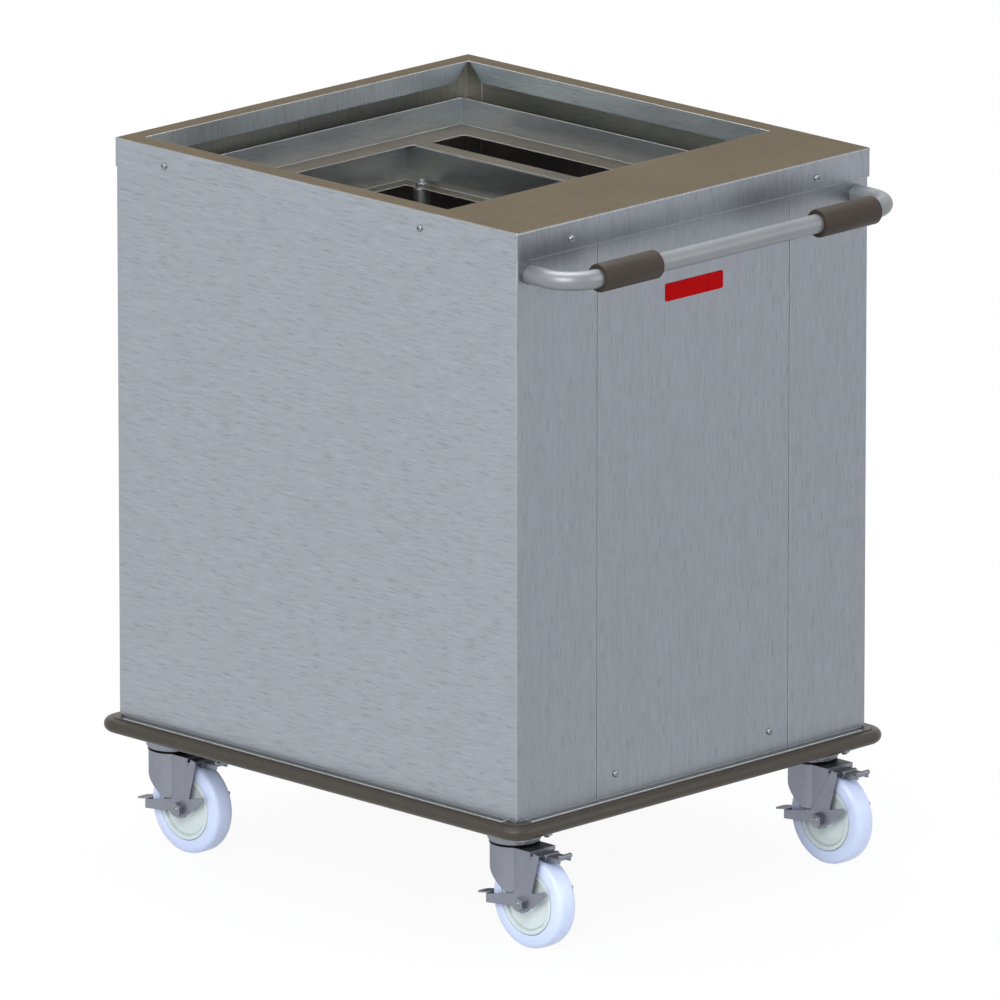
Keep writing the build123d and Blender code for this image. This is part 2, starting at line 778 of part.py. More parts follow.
# Brake pedal: a hub on the pin, the shoe over the tread and a level lever with the rod the foot presses
pedal_top = pin_z + pedal_over_pin
pedal_end = pin_y - pedal_length
shoe_radius = axle_z + shoe_gap
shoe_end = brake_pin_angle + shoe_arc
with BuildPart() as castor_brake_pedal:
    with BuildSketch(Plane.YZ):
        with Locations((pin_y, pin_z)):
            Circle(pedal_hub_radius)
    extrude(amount=pedal_half, both=True)
    with BuildSketch(Plane.YZ):
        with Locations((axle_y, axle_z)):
            Circle(shoe_radius + shoe_thickness)
            Circle(shoe_radius, mode=Mode.SUBTRACT)
        with BuildLine():
            far = 2 * shoe_radius
            Polyline(
                (axle_y, axle_z),
                (
                    axle_y - far * sin(radians(brake_pin_angle)),
                    axle_z + far * cos(radians(brake_pin_angle)),
                ),
                (axle_y - far * sin(radians(shoe_end)), axle_z + far * cos(radians(shoe_end))),
                (axle_y, axle_z),
            )
        make_face(mode=Mode.INTERSECT)
    extrude(amount=shoe_width / 2, both=True)
    with BuildSketch(Plane.YZ):
        rectangle_between(pedal_end, pedal_top - pedal_height, pin_y, pedal_top)
    extrude(amount=pedal_half, both=True)
    with BuildSketch(Plane.YZ):
        rectangle_between(
            pedal_end, pedal_top - pedal_height, pin_y - 2 * pedal_hub_radius, pedal_top - pedal_sheet
        )
    extrude(amount=pedal_half - pedal_sheet, both=True, mode=Mode.SUBTRACT)
    with BuildSketch(Plane.YZ):
        with Locations((pedal_end, pin_z + pedal_rod_rise)):
            Circle(pedal_rod / 2)
    extrude(amount=pedal_rod_length / 2, both=True)
    with BuildSketch(Plane.YZ):
        with Locations((pin_y, pin_z)):
            Circle(brake_pin_diameter / 2 + shaft_gap)
    extrude(amount=pedal_width, both=True, mode=Mode.SUBTRACT)

# Tyre and hub: turned about the axle
axle_plane = Plane((0, axle_y, axle_z), x_dir=(1, 0, 0), z_dir=(0, -1, 0))
axle_axis = Axis((0, axle_y, axle_z), (1, 0, 0))
with BuildPart() as castor_tyre:
    with BuildSketch(axle_plane) as tyre_section:
        rectangle_between(-wheel_width / 2, hub_radius, wheel_width / 2, wheel_diameter / 2)
        fillet(tyre_section.vertices().group_by(Axis.Z)[-1], wheel_shoulder)
    revolve(axis=axle_axis)

with BuildPart() as castor_hub:
    boss_half = leg_inner - running_gap
    rim_half = wheel_width / 2 - hub_rim_inset
    with BuildSketch(axle_plane):
        rectangle_between(-hub_web / 2, 0, hub_web / 2, hub_radius)
        rectangle_between(-rim_half, hub_radius - hub_rim, rim_half, hub_radius)
        rectangle_between(-boss_half, 0, boss_half, hub_boss_radius)
        rectangle_between(-boss_half, 0, boss_half, axle_bush_radius + shaft_gap, mode=Mode.SUBTRACT)
    revolve(axis=axle_axis)

# Axle set: bolt with a hex head on the right, nut on the left, and the bush the hub turns on
with BuildPart() as castor_axle:
    bolt_end = brake_outer + axle_nut_height + axle_tail
    with BuildSketch(Plane.YZ.offset(brake_outer)):
        with Locations((axle_y, axle_z)):
            RegularPolygon(axle_head_flats / 2, 6, major_radius=False)
    extrude(amount=axle_head_height)
    with BuildSketch(Plane.YZ.offset(brake_outer)):
        with Locations((axle_y, axle_z)):
            Circle(axle_diameter / 2)
    extrude(amount=-(brake_outer + bolt_end))
with BuildPart() as castor_axle_nut:
    with BuildSketch(Plane.YZ.offset(-brake_outer)):
        with Locations((axle_y, axle_z)):
            RegularPolygon(axle_head_flats / 2, 6, major_radius=False)
            Circle(axle_diameter / 2 + shaft_gap, mode=Mode.SUBTRACT)
    extrude(amount=-axle_nut_height)
with BuildPart() as castor_bush:
    with BuildSketch(Plane.YZ):
        with Locations((axle_y, axle_z)):
            Circle(axle_bush_radius)
            Circle(axle_diameter / 2 + shaft_gap, mode=Mode.SUBTRACT)
    extrude(amount=leg_inner, both=True)

# Four castors: each piece set at each corner as a node of its own
castor_pieces = {
    "plate": (castor_plate.part,),
    "fork": (castor_fork.part,),
    "brake_frame": (castor_brake_frame.part,),
    "brake_pedal": (castor_brake_pedal.part,),
    "tyre": (castor_tyre.part,),
    "hub": (castor_hub.part,),
    "axle": (castor_axle.part, castor_axle_nut.part, castor_bush.part),
}
for place_name, (castor_x, castor_y) in castor_places.items():
    for piece_name, solids in castor_pieces.items():
        with BuildPart() as placed:
            with Locations((castor_x, castor_y, 0)):
                for solid in solids:
                    add(solid)
        save(placed.part, f"{place_name}_castor_{piece_name}")

# Carriage places: the pan hangs in the tray opening, its well and posts below it
pan_width = opening_width - 2 * pan_side_gap
pan_back = opening_back - pan_rear_gap
pan_front = opening_front + pan_front_gap
pan_depth = pan_back - pan_front
pan_y = (pan_front + pan_back) / 2
pan_top = deck_top - pan_drop
pan_floor = pan_top - pan_upstand
pan_underside = pan_floor - sheet
inner_half = pan_width / 2 - sheet
slot_outer = inner_half - slot_margin_side
slot_inner = slot_outer - slot_width
well_half = slot_inner - slot_bar
well_open_back = pan_back - sheet - well_margin_end
well_open_front = pan_front + sheet + well_margin_end
well_back = well_open_back + well_setback
well_front = well_open_front - well_setback
well_y = (well_front + well_back) / 2
well_length = well_back - well_front
well_bottom = pan_floor - well_depth
post_x = well_half - post_from_side
post_back = well_back - post_from_end
post_front = well_front + post_from_end
post_places = [(side * post_x, y) for side in (-1, 1) for y in (post_front, post_back)]
post_bottom = well_bottom - post_height
channel_y = front_y + channel_from_front
channel_centre_x = post_x + arm_width / 2 + arm_to_channel + channel_width / 2
hanger_z = deck_top - hanger_drop
buffer_bottom = hanger_z - buffer_height
plate_top = buffer_bottom - running_gap
plate_bottom_z = plate_top - back_plate_height
anchor_z = plate_bottom_z + anchor_rise
upper_roller_z = plate_top - upper_roller_drop
lower_roller_z = upper_roller_z - roller_spacing

# Carriage pan: a shallow tray with upstands, two side slots and a central opening
with BuildPart() as carriage_pan:
    with BuildSketch(Plane.XY.offset(pan_underside)):
        with Locations((0, pan_y)):
            Rectangle(pan_width, pan_depth)
    extrude(amount=pan_top - pan_underside)
    fillet(carriage_pan.edges().group_by(Axis.Z)[0], sheet)
    with BuildSketch(Plane.XY.offset(pan_floor)):
        with Locations((0, pan_y)):
            Rectangle(pan_width - 2 * sheet, pan_depth - 2 * sheet)
    extrude(amount=pan_upstand, mode=Mode.SUBTRACT)
    with BuildSketch(Plane.XY.offset(pan_underside)) as pan_openings:
        with Locations((0, (well_open_front + well_open_back) / 2)):
            RectangleRounded(2 * well_half, well_open_back - well_open_front, pan_corner)
        slot_length = pan_depth - 2 * sheet - 2 * slot_margin_end
        for side in (-1, 1):
            with Locations((side * (slot_inner + slot_width / 2), pan_y)):
                RectangleRounded(slot_width, slot_length, pan_corner)
    extrude(amount=sheet, mode=Mode.SUBTRACT)
save(carriage_pan.part, "carriage_pan")

# Carriage well: four walls under the pan, with a flange out at the top and in at the bottom
with BuildPart() as carriage_well:
    wall_top = pan_underside
    with BuildSketch(Plane.XY.offset(well_bottom)):
        with Locations((0, well_y)):
            Rectangle(2 * (well_half + sheet), well_length + 2 * sheet)
            Rectangle(2 * well_half, well_length, mode=Mode.SUBTRACT)
    extrude(amount=wall_top - well_bottom)
    with BuildSketch(Plane.XY.offset(wall_top)):
        with Locations((0, well_y)):
            Rectangle(2 * (well_half + well_top_flange), well_length + 2 * well_top_flange)
            Rectangle(2 * well_half, well_length, mode=Mode.SUBTRACT)
    extrude(amount=-sheet)
    with BuildSketch(Plane.XY.offset(well_bottom)):
        with Locations((0, well_y)):
            Rectangle(2 * well_half, well_length)
            RectangleRounded(
                2 * (well_half - well_flange),
                well_length - 2 * well_flange,
                pan_corner,
                mode=Mode.SUBTRACT,
            )
    extrude(amount=sheet)
    with Locations(*[(x, y, well_bottom) for x, y in post_places]):
        Cylinder(stud_diameter / 2 + hole_gap, 4 * sheet, mode=Mode.SUBTRACT)
save(carriage_well.part, "carriage_well")

# Carriage posts: spacer tubes between the arms and the well's flange
with BuildPart() as carriage_posts:
    with BuildSketch(Plane.XY.offset(post_bottom)):
        with Locations(*post_places):
            Circle(post_diameter / 2)
            Circle(stud_diameter / 2 + hole_gap, mode=Mode.SUBTRACT)
    extrude(amount=post_height)
save(carriage_posts.part, "carriage_posts")

# One post stud, its thread standing above the upper nut, and the two nuts on it
stud_top = well_bottom + sheet + stud_rise
stud_bottom = post_bottom - arm_wall - stud_nut_height - stud_tail
with BuildPart() as post_studs:
    with BuildSketch(Plane.XY.offset(stud_bottom)):
        with Locations(*post_places):
            Circle(stud_diameter / 2)
    extrude(amount=stud_top - stud_bottom)
    fillet(post_studs.edges().group_by(Axis.Z)[-1], stud_round)
    for nut_z in (well_bottom + sheet, post_bottom - arm_wall - stud_nut_height):
        with BuildSketch(Plane.XY.offset(nut_z)):
            with Locations(*post_places):
                RegularPolygon(stud_nut_flats / 2, 6, major_radius=False)
                Circle(stud_diameter / 2 + shaft_gap, mode=Mode.SUBTRACT)
        extrude(amount=stud_nut_height)
save(post_studs.part, "post_studs")

# Carriage arms: two channels that reach from the back plate under the posts, open below
plate_face = channel_y + back_plate_behind
arm_end = post_back + arm_past_post
with BuildPart() as carriage_arms:
    with BuildSketch(Plane((0, plate_face, post_bottom), x_dir=(1, 0, 0), z_dir=(0, 1, 0))):
        for side in (-1, 1):
            with Locations((side * post_x, arm_height / 2)):
                Rectangle(arm_width, arm_height)
            with Locations((side * post_x, arm_height / 2 + arm_wall)):
                Rectangle(arm_width - 2 * arm_wall, arm_height, mode=Mode.SUBTRACT)
    extrude(amount=arm_end - plate_face)
    with Locations(*[(x, y, post_bottom) for x, y in post_places]):
        Cylinder(stud_diameter / 2 + hole_gap, 4 * arm_wall, mode=Mode.SUBTRACT)
save(carriage_arms.part, "carriage_arms")

# Back plate: a pressing between the guide channels, with a stop flange and a spring anchor
plate_half = channel_centre_x - channel_width / 2 - back_plate_side_gap
plate_front = plate_face - back_plate_side
spring_y = channel_y - channel_inside / 2 - channel_wall - spring_from_channel
with BuildPart() as carriage_back_plate:
    with BuildSketch(Plane.XY.offset(plate_bottom_z)):
        rectangle_between(-plate_half, plate_face - back_plate_sheet, plate_half, plate_face)
        for side in (-1, 1):
            flange_x = side * (plate_half - back_plate_sheet / 2)
            rectangle_between(
                flange_x - back_plate_sheet / 2,
                plate_front,
                flange_x + back_plate_sheet / 2,
                plate_face,
            )
    extrude(amount=back_plate_height)
    with BuildSketch(Plane.XY.offset(plate_top)):
        rectangle_between(-plate_half, plate_face - stop_flange, plate_half, plate_face)
    extrude(amount=-back_plate_sheet)
    with BuildSketch(Plane.XY.offset(anchor_z)):
        rectangle_between(-plate_half, spring_y - spring_diameter, plate_half, plate_face)
    extrude(amount=-back_plate_sheet)
    with BuildSketch(Plane.YZ):
        with Locations((channel_y, upper_roller_z), (channel_y, lower_roller_z)):
            Circle(roller_axle_diameter / 2 + shaft_gap)
    extrude(amount=2 * plate_half, both=True, mode=Mode.SUBTRACT)
save(carriage_back_plate.part, "carriage_back_plate")

# Roller axles: shouldered pins through the plate's side flanges
roller_inner = channel_centre_x + channel_width / 2 - channel_wall - roller_web_gap - roller_width
roller_outer = roller_inner + roller_width
with BuildPart() as roller_axles:
    for roller_z in (upper_roller_z, lower_roller_z):
        with BuildSketch(Plane.YZ.offset(plate_half)):
            with Locations((channel_y, roller_z)):
                Circle(roller_collar_diameter / 2)
        extrude(amount=roller_inner - running_gap - plate_half)
        with BuildSketch(Plane.YZ.offset(plate_half - back_plate_sheet - roller_axle_nut)):
            with Locations((channel_y, roller_z)):
                Circle(roller_axle_diameter / 2)
        extrude(amount=roller_outer + roller_axle_end - plate_half + back_plate_sheet + roller_axle_nut)
        with BuildSketch(Plane.YZ.offset(plate_half - back_plate_sheet)):
            with Locations((channel_y, roller_z)):
                RegularPolygon(stud_nut_flats / 2, 6, major_radius=False)
        extrude(amount=-roller_axle_nut)
    mirror(about=Plane.YZ)
save(roller_axles.part, "roller_axles")

# Rollers: four, each turning on its own axle inside a guide channel
for side_name, side in (("left", -1), ("right", 1)):
    for level_name, roller_z in (("upper", upper_roller_z), ("lower", lower_roller_z)):
        with BuildPart() as roller:
            with BuildSketch(Plane.YZ.offset(side * (roller_inner + roller_outer) / 2)):
                with Locations((channel_y, roller_z)):
                    Circle(roller_diameter / 2)
                    Circle(roller_axle_diameter / 2 + shaft_gap, mode=Mode.SUBTRACT)
            extrude(amount=roller_width / 2, both=True)
            fillet(roller.edges().filter_by(GeomType.CIRCLE).sort_by(SortBy.LENGTH)[-2:], roller_round)
        save(roller.part, f"{side_name}_{level_name}_roller")

# Guide channels: from the base floor to the underside of the deck, open towards the middle
channel_depth = channel_inside + 2 * channel_wall
for side_name, side in (("left", -1), ("right", 1)):
    with BuildPart() as guide_channel:
        with BuildSketch(Plane.XY.offset(base_top)):
            with Locations((side * channel_centre_x, channel_y)):
                Rectangle(channel_width, channel_depth)
            with Locations((side * (channel_centre_x - channel_wall), channel_y)):
                Rectangle(channel_width, channel_inside, mode=Mode.SUBTRACT)
        extrude(amount=panel_top - base_top)
    save(guide_channel.part, f"{side_name}_guide_channel")

# Hanger bar: an angle on the channels that the springs hang from, with a web for the buffers
channel_face = channel_y - channel_depth / 2
hanger_half = channel_centre_x + channel_width / 2
with BuildPart() as hanger_bar:
    with BuildSketch(Plane.XY.offset(hanger_z)):
        rectangle_between(-hanger_half, channel_face - hanger_front, hanger_half, channel_face)
        rectangle_between(
            -plate_half, channel_face - hanger_front, plate_half, channel_y + channel_depth / 2
        )
    extrude(amount=hanger_sheet)
    with BuildSketch(Plane.XY.offset(hanger_z)):
        rectangle_between(-hanger_half, channel_face - hanger_sheet, hanger_half, channel_face)
    extrude(amount=hanger_flange)
save(hanger_bar.part, "hanger_bar")

# Stop buffers: rubber pads under the hanger bar, just above the carriage's stop flange
with BuildPart() as stop_buffers:
    with BuildSketch(Plane.XY.offset(buffer_bottom)):
        with Locations((0, plate_face - stop_flange / 2)):
            with GridLocations(buffer_spacing, 0, 2, 1):
                Circle(buffer_diameter / 2)
    extrude(amount=buffer_height)
save(stop_buffers.part, "stop_buffers")

# Extension springs: a row from the hanger bar to the carriage's anchor flange
with BuildPart() as extension_springs:
    with BuildSketch(Plane.XY.offset(anchor_z + running_gap)):
        with Locations((0, spring_y)):
            with GridLocations(spring_pitch, 0, spring_count, 1):
                Circle(spring_diameter / 2)
                Circle(spring_diameter / 2 - spring_wire, mode=Mode.SUBTRACT)
    extrude(amount=hanger_z - anchor_z - 2 * running_gap)
save(extension_springs.part, "extension_springs")
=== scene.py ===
import math

import bmesh
import bpy
from mathutils import Matrix, Vector


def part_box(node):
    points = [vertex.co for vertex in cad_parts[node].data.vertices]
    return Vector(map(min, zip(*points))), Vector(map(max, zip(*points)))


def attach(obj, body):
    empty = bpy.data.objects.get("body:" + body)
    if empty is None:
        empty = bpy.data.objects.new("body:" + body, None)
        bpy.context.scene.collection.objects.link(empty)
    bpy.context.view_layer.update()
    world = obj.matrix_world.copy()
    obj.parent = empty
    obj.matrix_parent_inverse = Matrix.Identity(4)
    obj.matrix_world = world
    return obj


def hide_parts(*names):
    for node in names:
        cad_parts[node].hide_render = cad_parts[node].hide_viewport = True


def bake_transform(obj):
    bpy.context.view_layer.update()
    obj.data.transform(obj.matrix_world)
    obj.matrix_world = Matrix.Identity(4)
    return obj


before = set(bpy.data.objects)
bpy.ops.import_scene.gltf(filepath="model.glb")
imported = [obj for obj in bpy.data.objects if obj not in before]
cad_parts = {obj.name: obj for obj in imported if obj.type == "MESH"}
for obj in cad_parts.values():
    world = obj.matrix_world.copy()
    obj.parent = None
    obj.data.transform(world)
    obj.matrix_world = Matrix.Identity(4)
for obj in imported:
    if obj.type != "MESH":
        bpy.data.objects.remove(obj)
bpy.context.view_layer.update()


# Cabinet shell: side panels, rear panel, access panel and deck, bent from 1.5 mm stainless sheet.
# The sheet has a satin brushed face. Its grain runs along the cart on the sides and the deck, and
# upright on both ends. The sides, ends and level faces get lighter and darker copies of one sheet
# as
# painted light: the ends a painted shade darker, the level faces a taupe painted reflection. The
# bends and the cut edges are painted a little brighter than the faces, a painted highlight.
def add_node(tree, kind, inputs=None, **settings):
    """Put a node in the tree, its inputs given as values or as other nodes' outputs."""
    node = tree.nodes.new(kind)
    for name, value in settings.items():
        setattr(node, name, value)
    for key, value in (inputs or {}).items():
        if isinstance(value, bpy.types.NodeSocket):
            tree.links.new(value, node.inputs[key])
        else:
            node.inputs[key].default_value = value
    return node


def calculate(tree, operation, first, second=0.0):
    """One sum in a tree."""
    return add_node(tree, "ShaderNodeMath", {0: first, 1: second}, operation=operation).outputs[0]


def rescale(tree, value, low, high, new_low, new_high):
    """Take a value from one range to another, held at the ends."""
    ends = {0: value, 1: low, 2: high, 3: new_low, 4: new_high}
    return add_node(tree, "ShaderNodeMapRange", ends).outputs[0]


def vector_sum(tree, operation, first, second=(0.0, 0.0, 0.0), factor=1.0):
    """One vector sum in a tree."""
    parts = {0: first, 1: second, 3: factor}
    return add_node(tree, "ShaderNodeVectorMath", parts, operation=operation).outputs


def start_group(name, inputs, outputs, kind="ShaderNodeTree"):
    """Open a node group with those sockets, and give its tree, its source and its sink."""
    tree = bpy.data.node_groups.new(name, kind)
    for label, socket_type, value in inputs:
        socket = tree.interface.new_socket(label, in_out="INPUT", socket_type=socket_type)
        if value is not None:
            socket.default_value = value
    for label, socket_type in outputs:
        tree.interface.new_socket(label, in_out="OUTPUT", socket_type=socket_type)
    source = tree.nodes.new("NodeGroupInput").outputs
    sink = tree.nodes.new("NodeGroupOutput").inputs
    return tree, source, sink


def sheet_grain_group():
    """Brush marks in the sheet: soft bands, short dark dashes, pale glints and fine scratches."""
    tree, source, sink = start_group(
        "sheet grain",
        [
            ("Sides", "NodeSocketVector", (1.0, 1.0, 1.0)),
            ("Ends", "NodeSocketVector", (1.0, 1.0, 1.0)),
        ],
        [
            ("Dashes", "NodeSocketFloat"),
            ("Glints", "NodeSocketFloat"),
            ("Bands", "NodeSocketFloat"),
            ("Scratches", "NodeSocketFloat"),
            ("Smudges", "NodeSocketFloat"),
            ("End", "NodeSocketFloat"),
            ("Level", "NodeSocketFloat"),
        ],
    )
    place = add_node(tree, "ShaderNodeTexCoord").outputs
    facing = add_node(tree, "ShaderNodeSeparateXYZ", {0: place["Normal"]}).outputs
    mostly = 0.7
    # The End mask turns the grain upright and also picks the faces that get a painted shade; the
    # Level mask picks the faces that get a painted reflection.
    ends = calculate(tree, "GREATER_THAN", calculate(tree, "ABSOLUTE", facing["Y"]), mostly)
    level = calculate(tree, "GREATER_THAN", facing["Z"], mostly)
    stretch = add_node(
        tree,
        "ShaderNodeMix",
        {0: ends, 4: source["Sides"], 5: source["Ends"]},
        data_type="VECTOR",
    )
    laid = vector_sum(tree, "MULTIPLY", place["Object"], stretch.outputs[1])[0]
    marks = add_node(tree, "ShaderNodeTexNoise", {"Vector": laid, "Scale": 1.0, "Detail": 2.0})
    dashes = rescale(tree, marks.outputs[0], 0.55, 0.68, 0.0, 1.0)
    glints = rescale(tree, marks.outputs[0], 0.42, 0.32, 0.0, 1.0)
    bands = add_node(tree, "ShaderNodeTexNoise", {"Vector": laid, "Scale": 0.31, "Detail": 3.0})
    scratches = add_node(tree, "ShaderNodeTexNoise", {"Vector": laid, "Scale": 3.7, "Detail": 1.0})
    smudges = add_node(
        tree, "ShaderNodeTexNoise", {"Vector": place["Object"], "Scale": 5.0, "Detail": 3.0}
    )
    tree.links.new(dashes, sink["Dashes"])
    tree.links.new(glints, sink["Glints"])
    tree.links.new(bands.outputs[0], sink["Bands"])
    tree.links.new(scratches.outputs[0], sink["Scratches"])
    tree.links.new(smudges.outputs[0], sink["Smudges"])
    tree.links.new(ends, sink["End"])
    tree.links.new(level, sink["Level"])
    return tree


def edge_highlight_and_wear_group():
    """Edges softened by a small radius, and a mask along them, which paints a highlight on sheet
    edges and adds to the scuffs on moulded pieces.
    """
    tree, source, sink = start_group(
        "edge highlight and wear",
        [("Width", "NodeSocketFloat", 0.001)],
        [("Edge", "NodeSocketFloat"), ("Normal", "NodeSocketVector")],
    )
    soft = add_node(tree, "ShaderNodeBevel", {"Radius": source["Width"]}, samples=4)
    sharp = add_node(tree, "ShaderNodeNewGeometry").outputs["Normal"]
    meeting = vector_sum(tree, "DOT_PRODUCT", soft.outputs[0], sharp)["Value"]
    tree.links.new(rescale(tree, meeting, 0.995, 0.8, 0.0, 1.0), sink["Edge"])
    tree.links.new(soft.outputs[0], sink["Normal"])
    return tree


sheet_grain = sheet_grain_group()
edge_highlight_and_wear = edge_highlight_and_wear_group()


def place_group(tree, group, inputs=None):
    """Put a shared effect in a material's tree and give its outputs."""
    node = tree.nodes.new("ShaderNodeGroup")
    node.node_tree = group
    for key, value in (inputs or {}).items():
        node.inputs[key].default_value = value
    return node.outputs


def mix_colours(tree, share, first, second, blend="MIX"):
    """Mix two colours, each a value or another node's output."""
    node = add_node(
        tree, "ShaderNodeMix", {0: share, 6: first, 7: second}, data_type="RGBA", blend_type=blend
    )
    return node.outputs[2]


def start_material(name, **surface_values):
    """A new material with its surface's plain values set, and its tree and surface."""
    material = bpy.data.materials.new(name)
    material.use_nodes = True
    surface = material.node_tree.nodes["Principled BSDF"]
    for label, value in surface_values.items():
        surface.inputs[label.replace("_", " ")].default_value = value
    return material, material.node_tree, surface


def satin_sheet(
    name, sides, ends, level, edge, along, across, rough, edge_width=0.0012, marks=1.0, tint=None
):
    """Brushed sheet, with a colour for its sides, one for its ends and one for what lies level,
    these being lit and shaded copies of one sheet as painted light, and a painted highlight along
    its edges.
    """
    material, tree, surface = start_material(name, Metallic=1.0)
    if tint:
        surface.inputs["Specular Tint"].default_value = (*tint, 1.0)
    grain = place_group(tree, sheet_grain, {"Sides": along, "Ends": across})
    edge_sheen_and_wear = place_group(tree, edge_highlight_and_wear, {"Width": edge_width})
    # Painted light: the ends get a shaded copy of the sides' colour, and the level faces a painted
    # reflection.
    colour = mix_colours(tree, grain["End"], (*sides, 1.0), (*ends, 1.0))
    colour = mix_colours(tree, grain["Level"], colour, (*level, 1.0))
    shade = rescale(tree, grain["Bands"], 0.3, 0.7, 0.96, 1.04)
    for kind, change in (("Dashes", -0.17), ("Glints", 0.08), ("Scratches", -0.03)):
        mark = rescale(tree, grain[kind], 0.0, 1.0, 1.0, 1.0 + change * marks)
        shade = calculate(tree, "MULTIPLY", shade, mark)
    colour = vector_sum(tree, "SCALE", colour, factor=shade)[0]
    # Painted highlight: the edges and bends are mixed towards the lighter edge colour.
    edge_share = calculate(tree, "MULTIPLY", edge_sheen_and_wear["Edge"], 0.8)
    colour = mix_colours(tree, edge_share, colour, (*edge, 1.0))
    tree.links.new(colour, surface.inputs["Base Color"])
    roughness = rescale(tree, grain["Smudges"], 0.3, 0.7, rough - 0.04, rough + 0.05)
    tree.links.new(roughness, surface.inputs["Roughness"])
    bump = add_node(
        tree,
        "ShaderNodeBump",
        {
            "Height": grain["Scratches"],
            "Normal": edge_sheen_and_wear["Normal"],
            "Strength": 0.15,
            "Distance": 0.0002,
        },
    )
    tree.links.new(bump.outputs[0], surface.inputs["Normal"])
    return material


def dress(material, *names):
    """Give CAD nodes a finish."""
    for name in names:
        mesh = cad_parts[name].data
        mesh.materials.clear()
        mesh.materials.append(material)


along_cart = (520.0, 42.0, 520.0)
upright = (520.0, 520.0, 42.0)
# Painted light: the ends are shaded darker than the sides, the level faces are a taupe painted
# reflection, and the edges are a painted highlight.
cabinet_colours = {
    "sides": (0.377, 0.411, 0.450),
    "ends": (0.282, 0.304, 0.340),
    "level": (0.19, 0.16, 0.117),
    "edge": (0.66, 0.70, 0.73),
    "tint": (0.52, 0.49, 0.455),
}
cabinet_steel = satin_sheet(
    "satin cabinet steel", along=along_cart, across=upright, rough=0.34, **cabinet_colours
)


def paint_light_inside(material, half_width, front, back, line, above, below):
    """Paint light and shade on upright faces inside a box, by one gain above a line, one below it.
    """
    tree = material.node_tree
    surface = tree.nodes["Principled BSDF"]
    spot = add_node(tree, "ShaderNodeTexCoord").outputs
    place = add_node(tree, "ShaderNodeSeparateXYZ", {0: spot["Object"]}).outputs
    facing = add_node(tree, "ShaderNodeSeparateXYZ", {0: spot["Normal"]}).outputs
    inside = calculate(tree, "LESS_THAN", calculate(tree, "ABSOLUTE", place["X"]), half_width)
    for within in (
        calculate(tree, "GREATER_THAN", place["Y"], front),
        calculate(tree, "LESS_THAN", place["Y"], back),
        calculate(tree, "LESS_THAN", facing["Z"], 0.5),
    ):
        inside = calculate(tree, "MULTIPLY", inside, within)
    high = rescale(tree, place["Z"], line - 0.01, line + 0.01, 0.0, 1.0)
    change = mix_colours(tree, high, (*below, 1.0), (*above, 1.0))
    change = mix_colours(tree, inside, (1.0, 1.0, 1.0, 1.0), change)
    plain = surface.inputs["Base Color"].links[0].from_socket
    changed = mix_colours(tree, 1.0, plain, change, "MULTIPLY")
    tree.links.new(changed, surface.inputs["Base Color"])


# Painted light and shade: the panels' inner faces are lightened and warmed above the line and
# darkened a little below it.
paint_light_inside(
    cabinet_steel,
    half_width=0.3278,
    front=-0.3358,
    back=0.4058,
    line=0.905,
    above=(1.90, 1.76, 1.44),
    below=(1.05, 0.9, 0.78),
)
dress(cabinet_steel, "left_side_panel", "right_side_panel", "rear_panel", "access_panel")


# Deck: one sheet with its rims folded down outside and round the well opening. Its inside folds
# are about twice as light as the rest, a painted light standing in for light inside the opening.
deck_steel = satin_sheet(
    "satin deck steel", along=along_cart, across=upright, rough=0.34, **cabinet_colours
)
paint_light_inside(
    deck_steel,
    half_width=0.31,
    front=-0.20,
    back=0.39,
    line=0.80,
    above=(1.95, 1.98, 1.92),
    below=(1.95, 1.95, 1.95),
)
dress(deck_steel, "top_deck")


# Screws: stainless pan heads with a cross recess, driven into the deck's skirt and the foot of
# the access panel. Each stops at its own angle.
def make_from_recipe(name, recipe, places, **sizes):
    """Run a geometry recipe on some places, each a spot and a direction, and keep a plain mesh."""
    spots = bpy.data.meshes.new(name)
    spots.from_pydata([spot for spot, facing in places], [], [])
    facing = spots.attributes.new("facing", "FLOAT_VECTOR", "POINT")
    facing.data.foreach_set("vector", [part for spot, way in places for part in way])
    piece = bpy.data.objects.new(name, spots)
    bpy.context.collection.objects.link(piece)
    modifier = piece.modifiers.new("recipe", "NODES")
    modifier.node_group = recipe
    for item in recipe.interface.items_tree:
        label = item.name.lower().replace(" ", "_")
        if item.in_out == "INPUT" and label in sizes:
            modifier[item.identifier] = sizes[label]
    bpy.context.view_layer.update()
    finished = piece.evaluated_get(bpy.context.evaluated_depsgraph_get())
    mesh = bpy.data.meshes.new_from_object(finished)
    piece.modifiers.clear()
    piece.data = mesh
    bpy.data.meshes.remove(spots)
    mesh.name = name
    soften(mesh)
    return piece


def soften(mesh, angle=35.0):
    """Shade a mesh smooth, apart from its edges sharper than the angle."""
    mesh.shade_smooth()
    mesh.set_sharp_from_angle(angle=math.radians(angle))


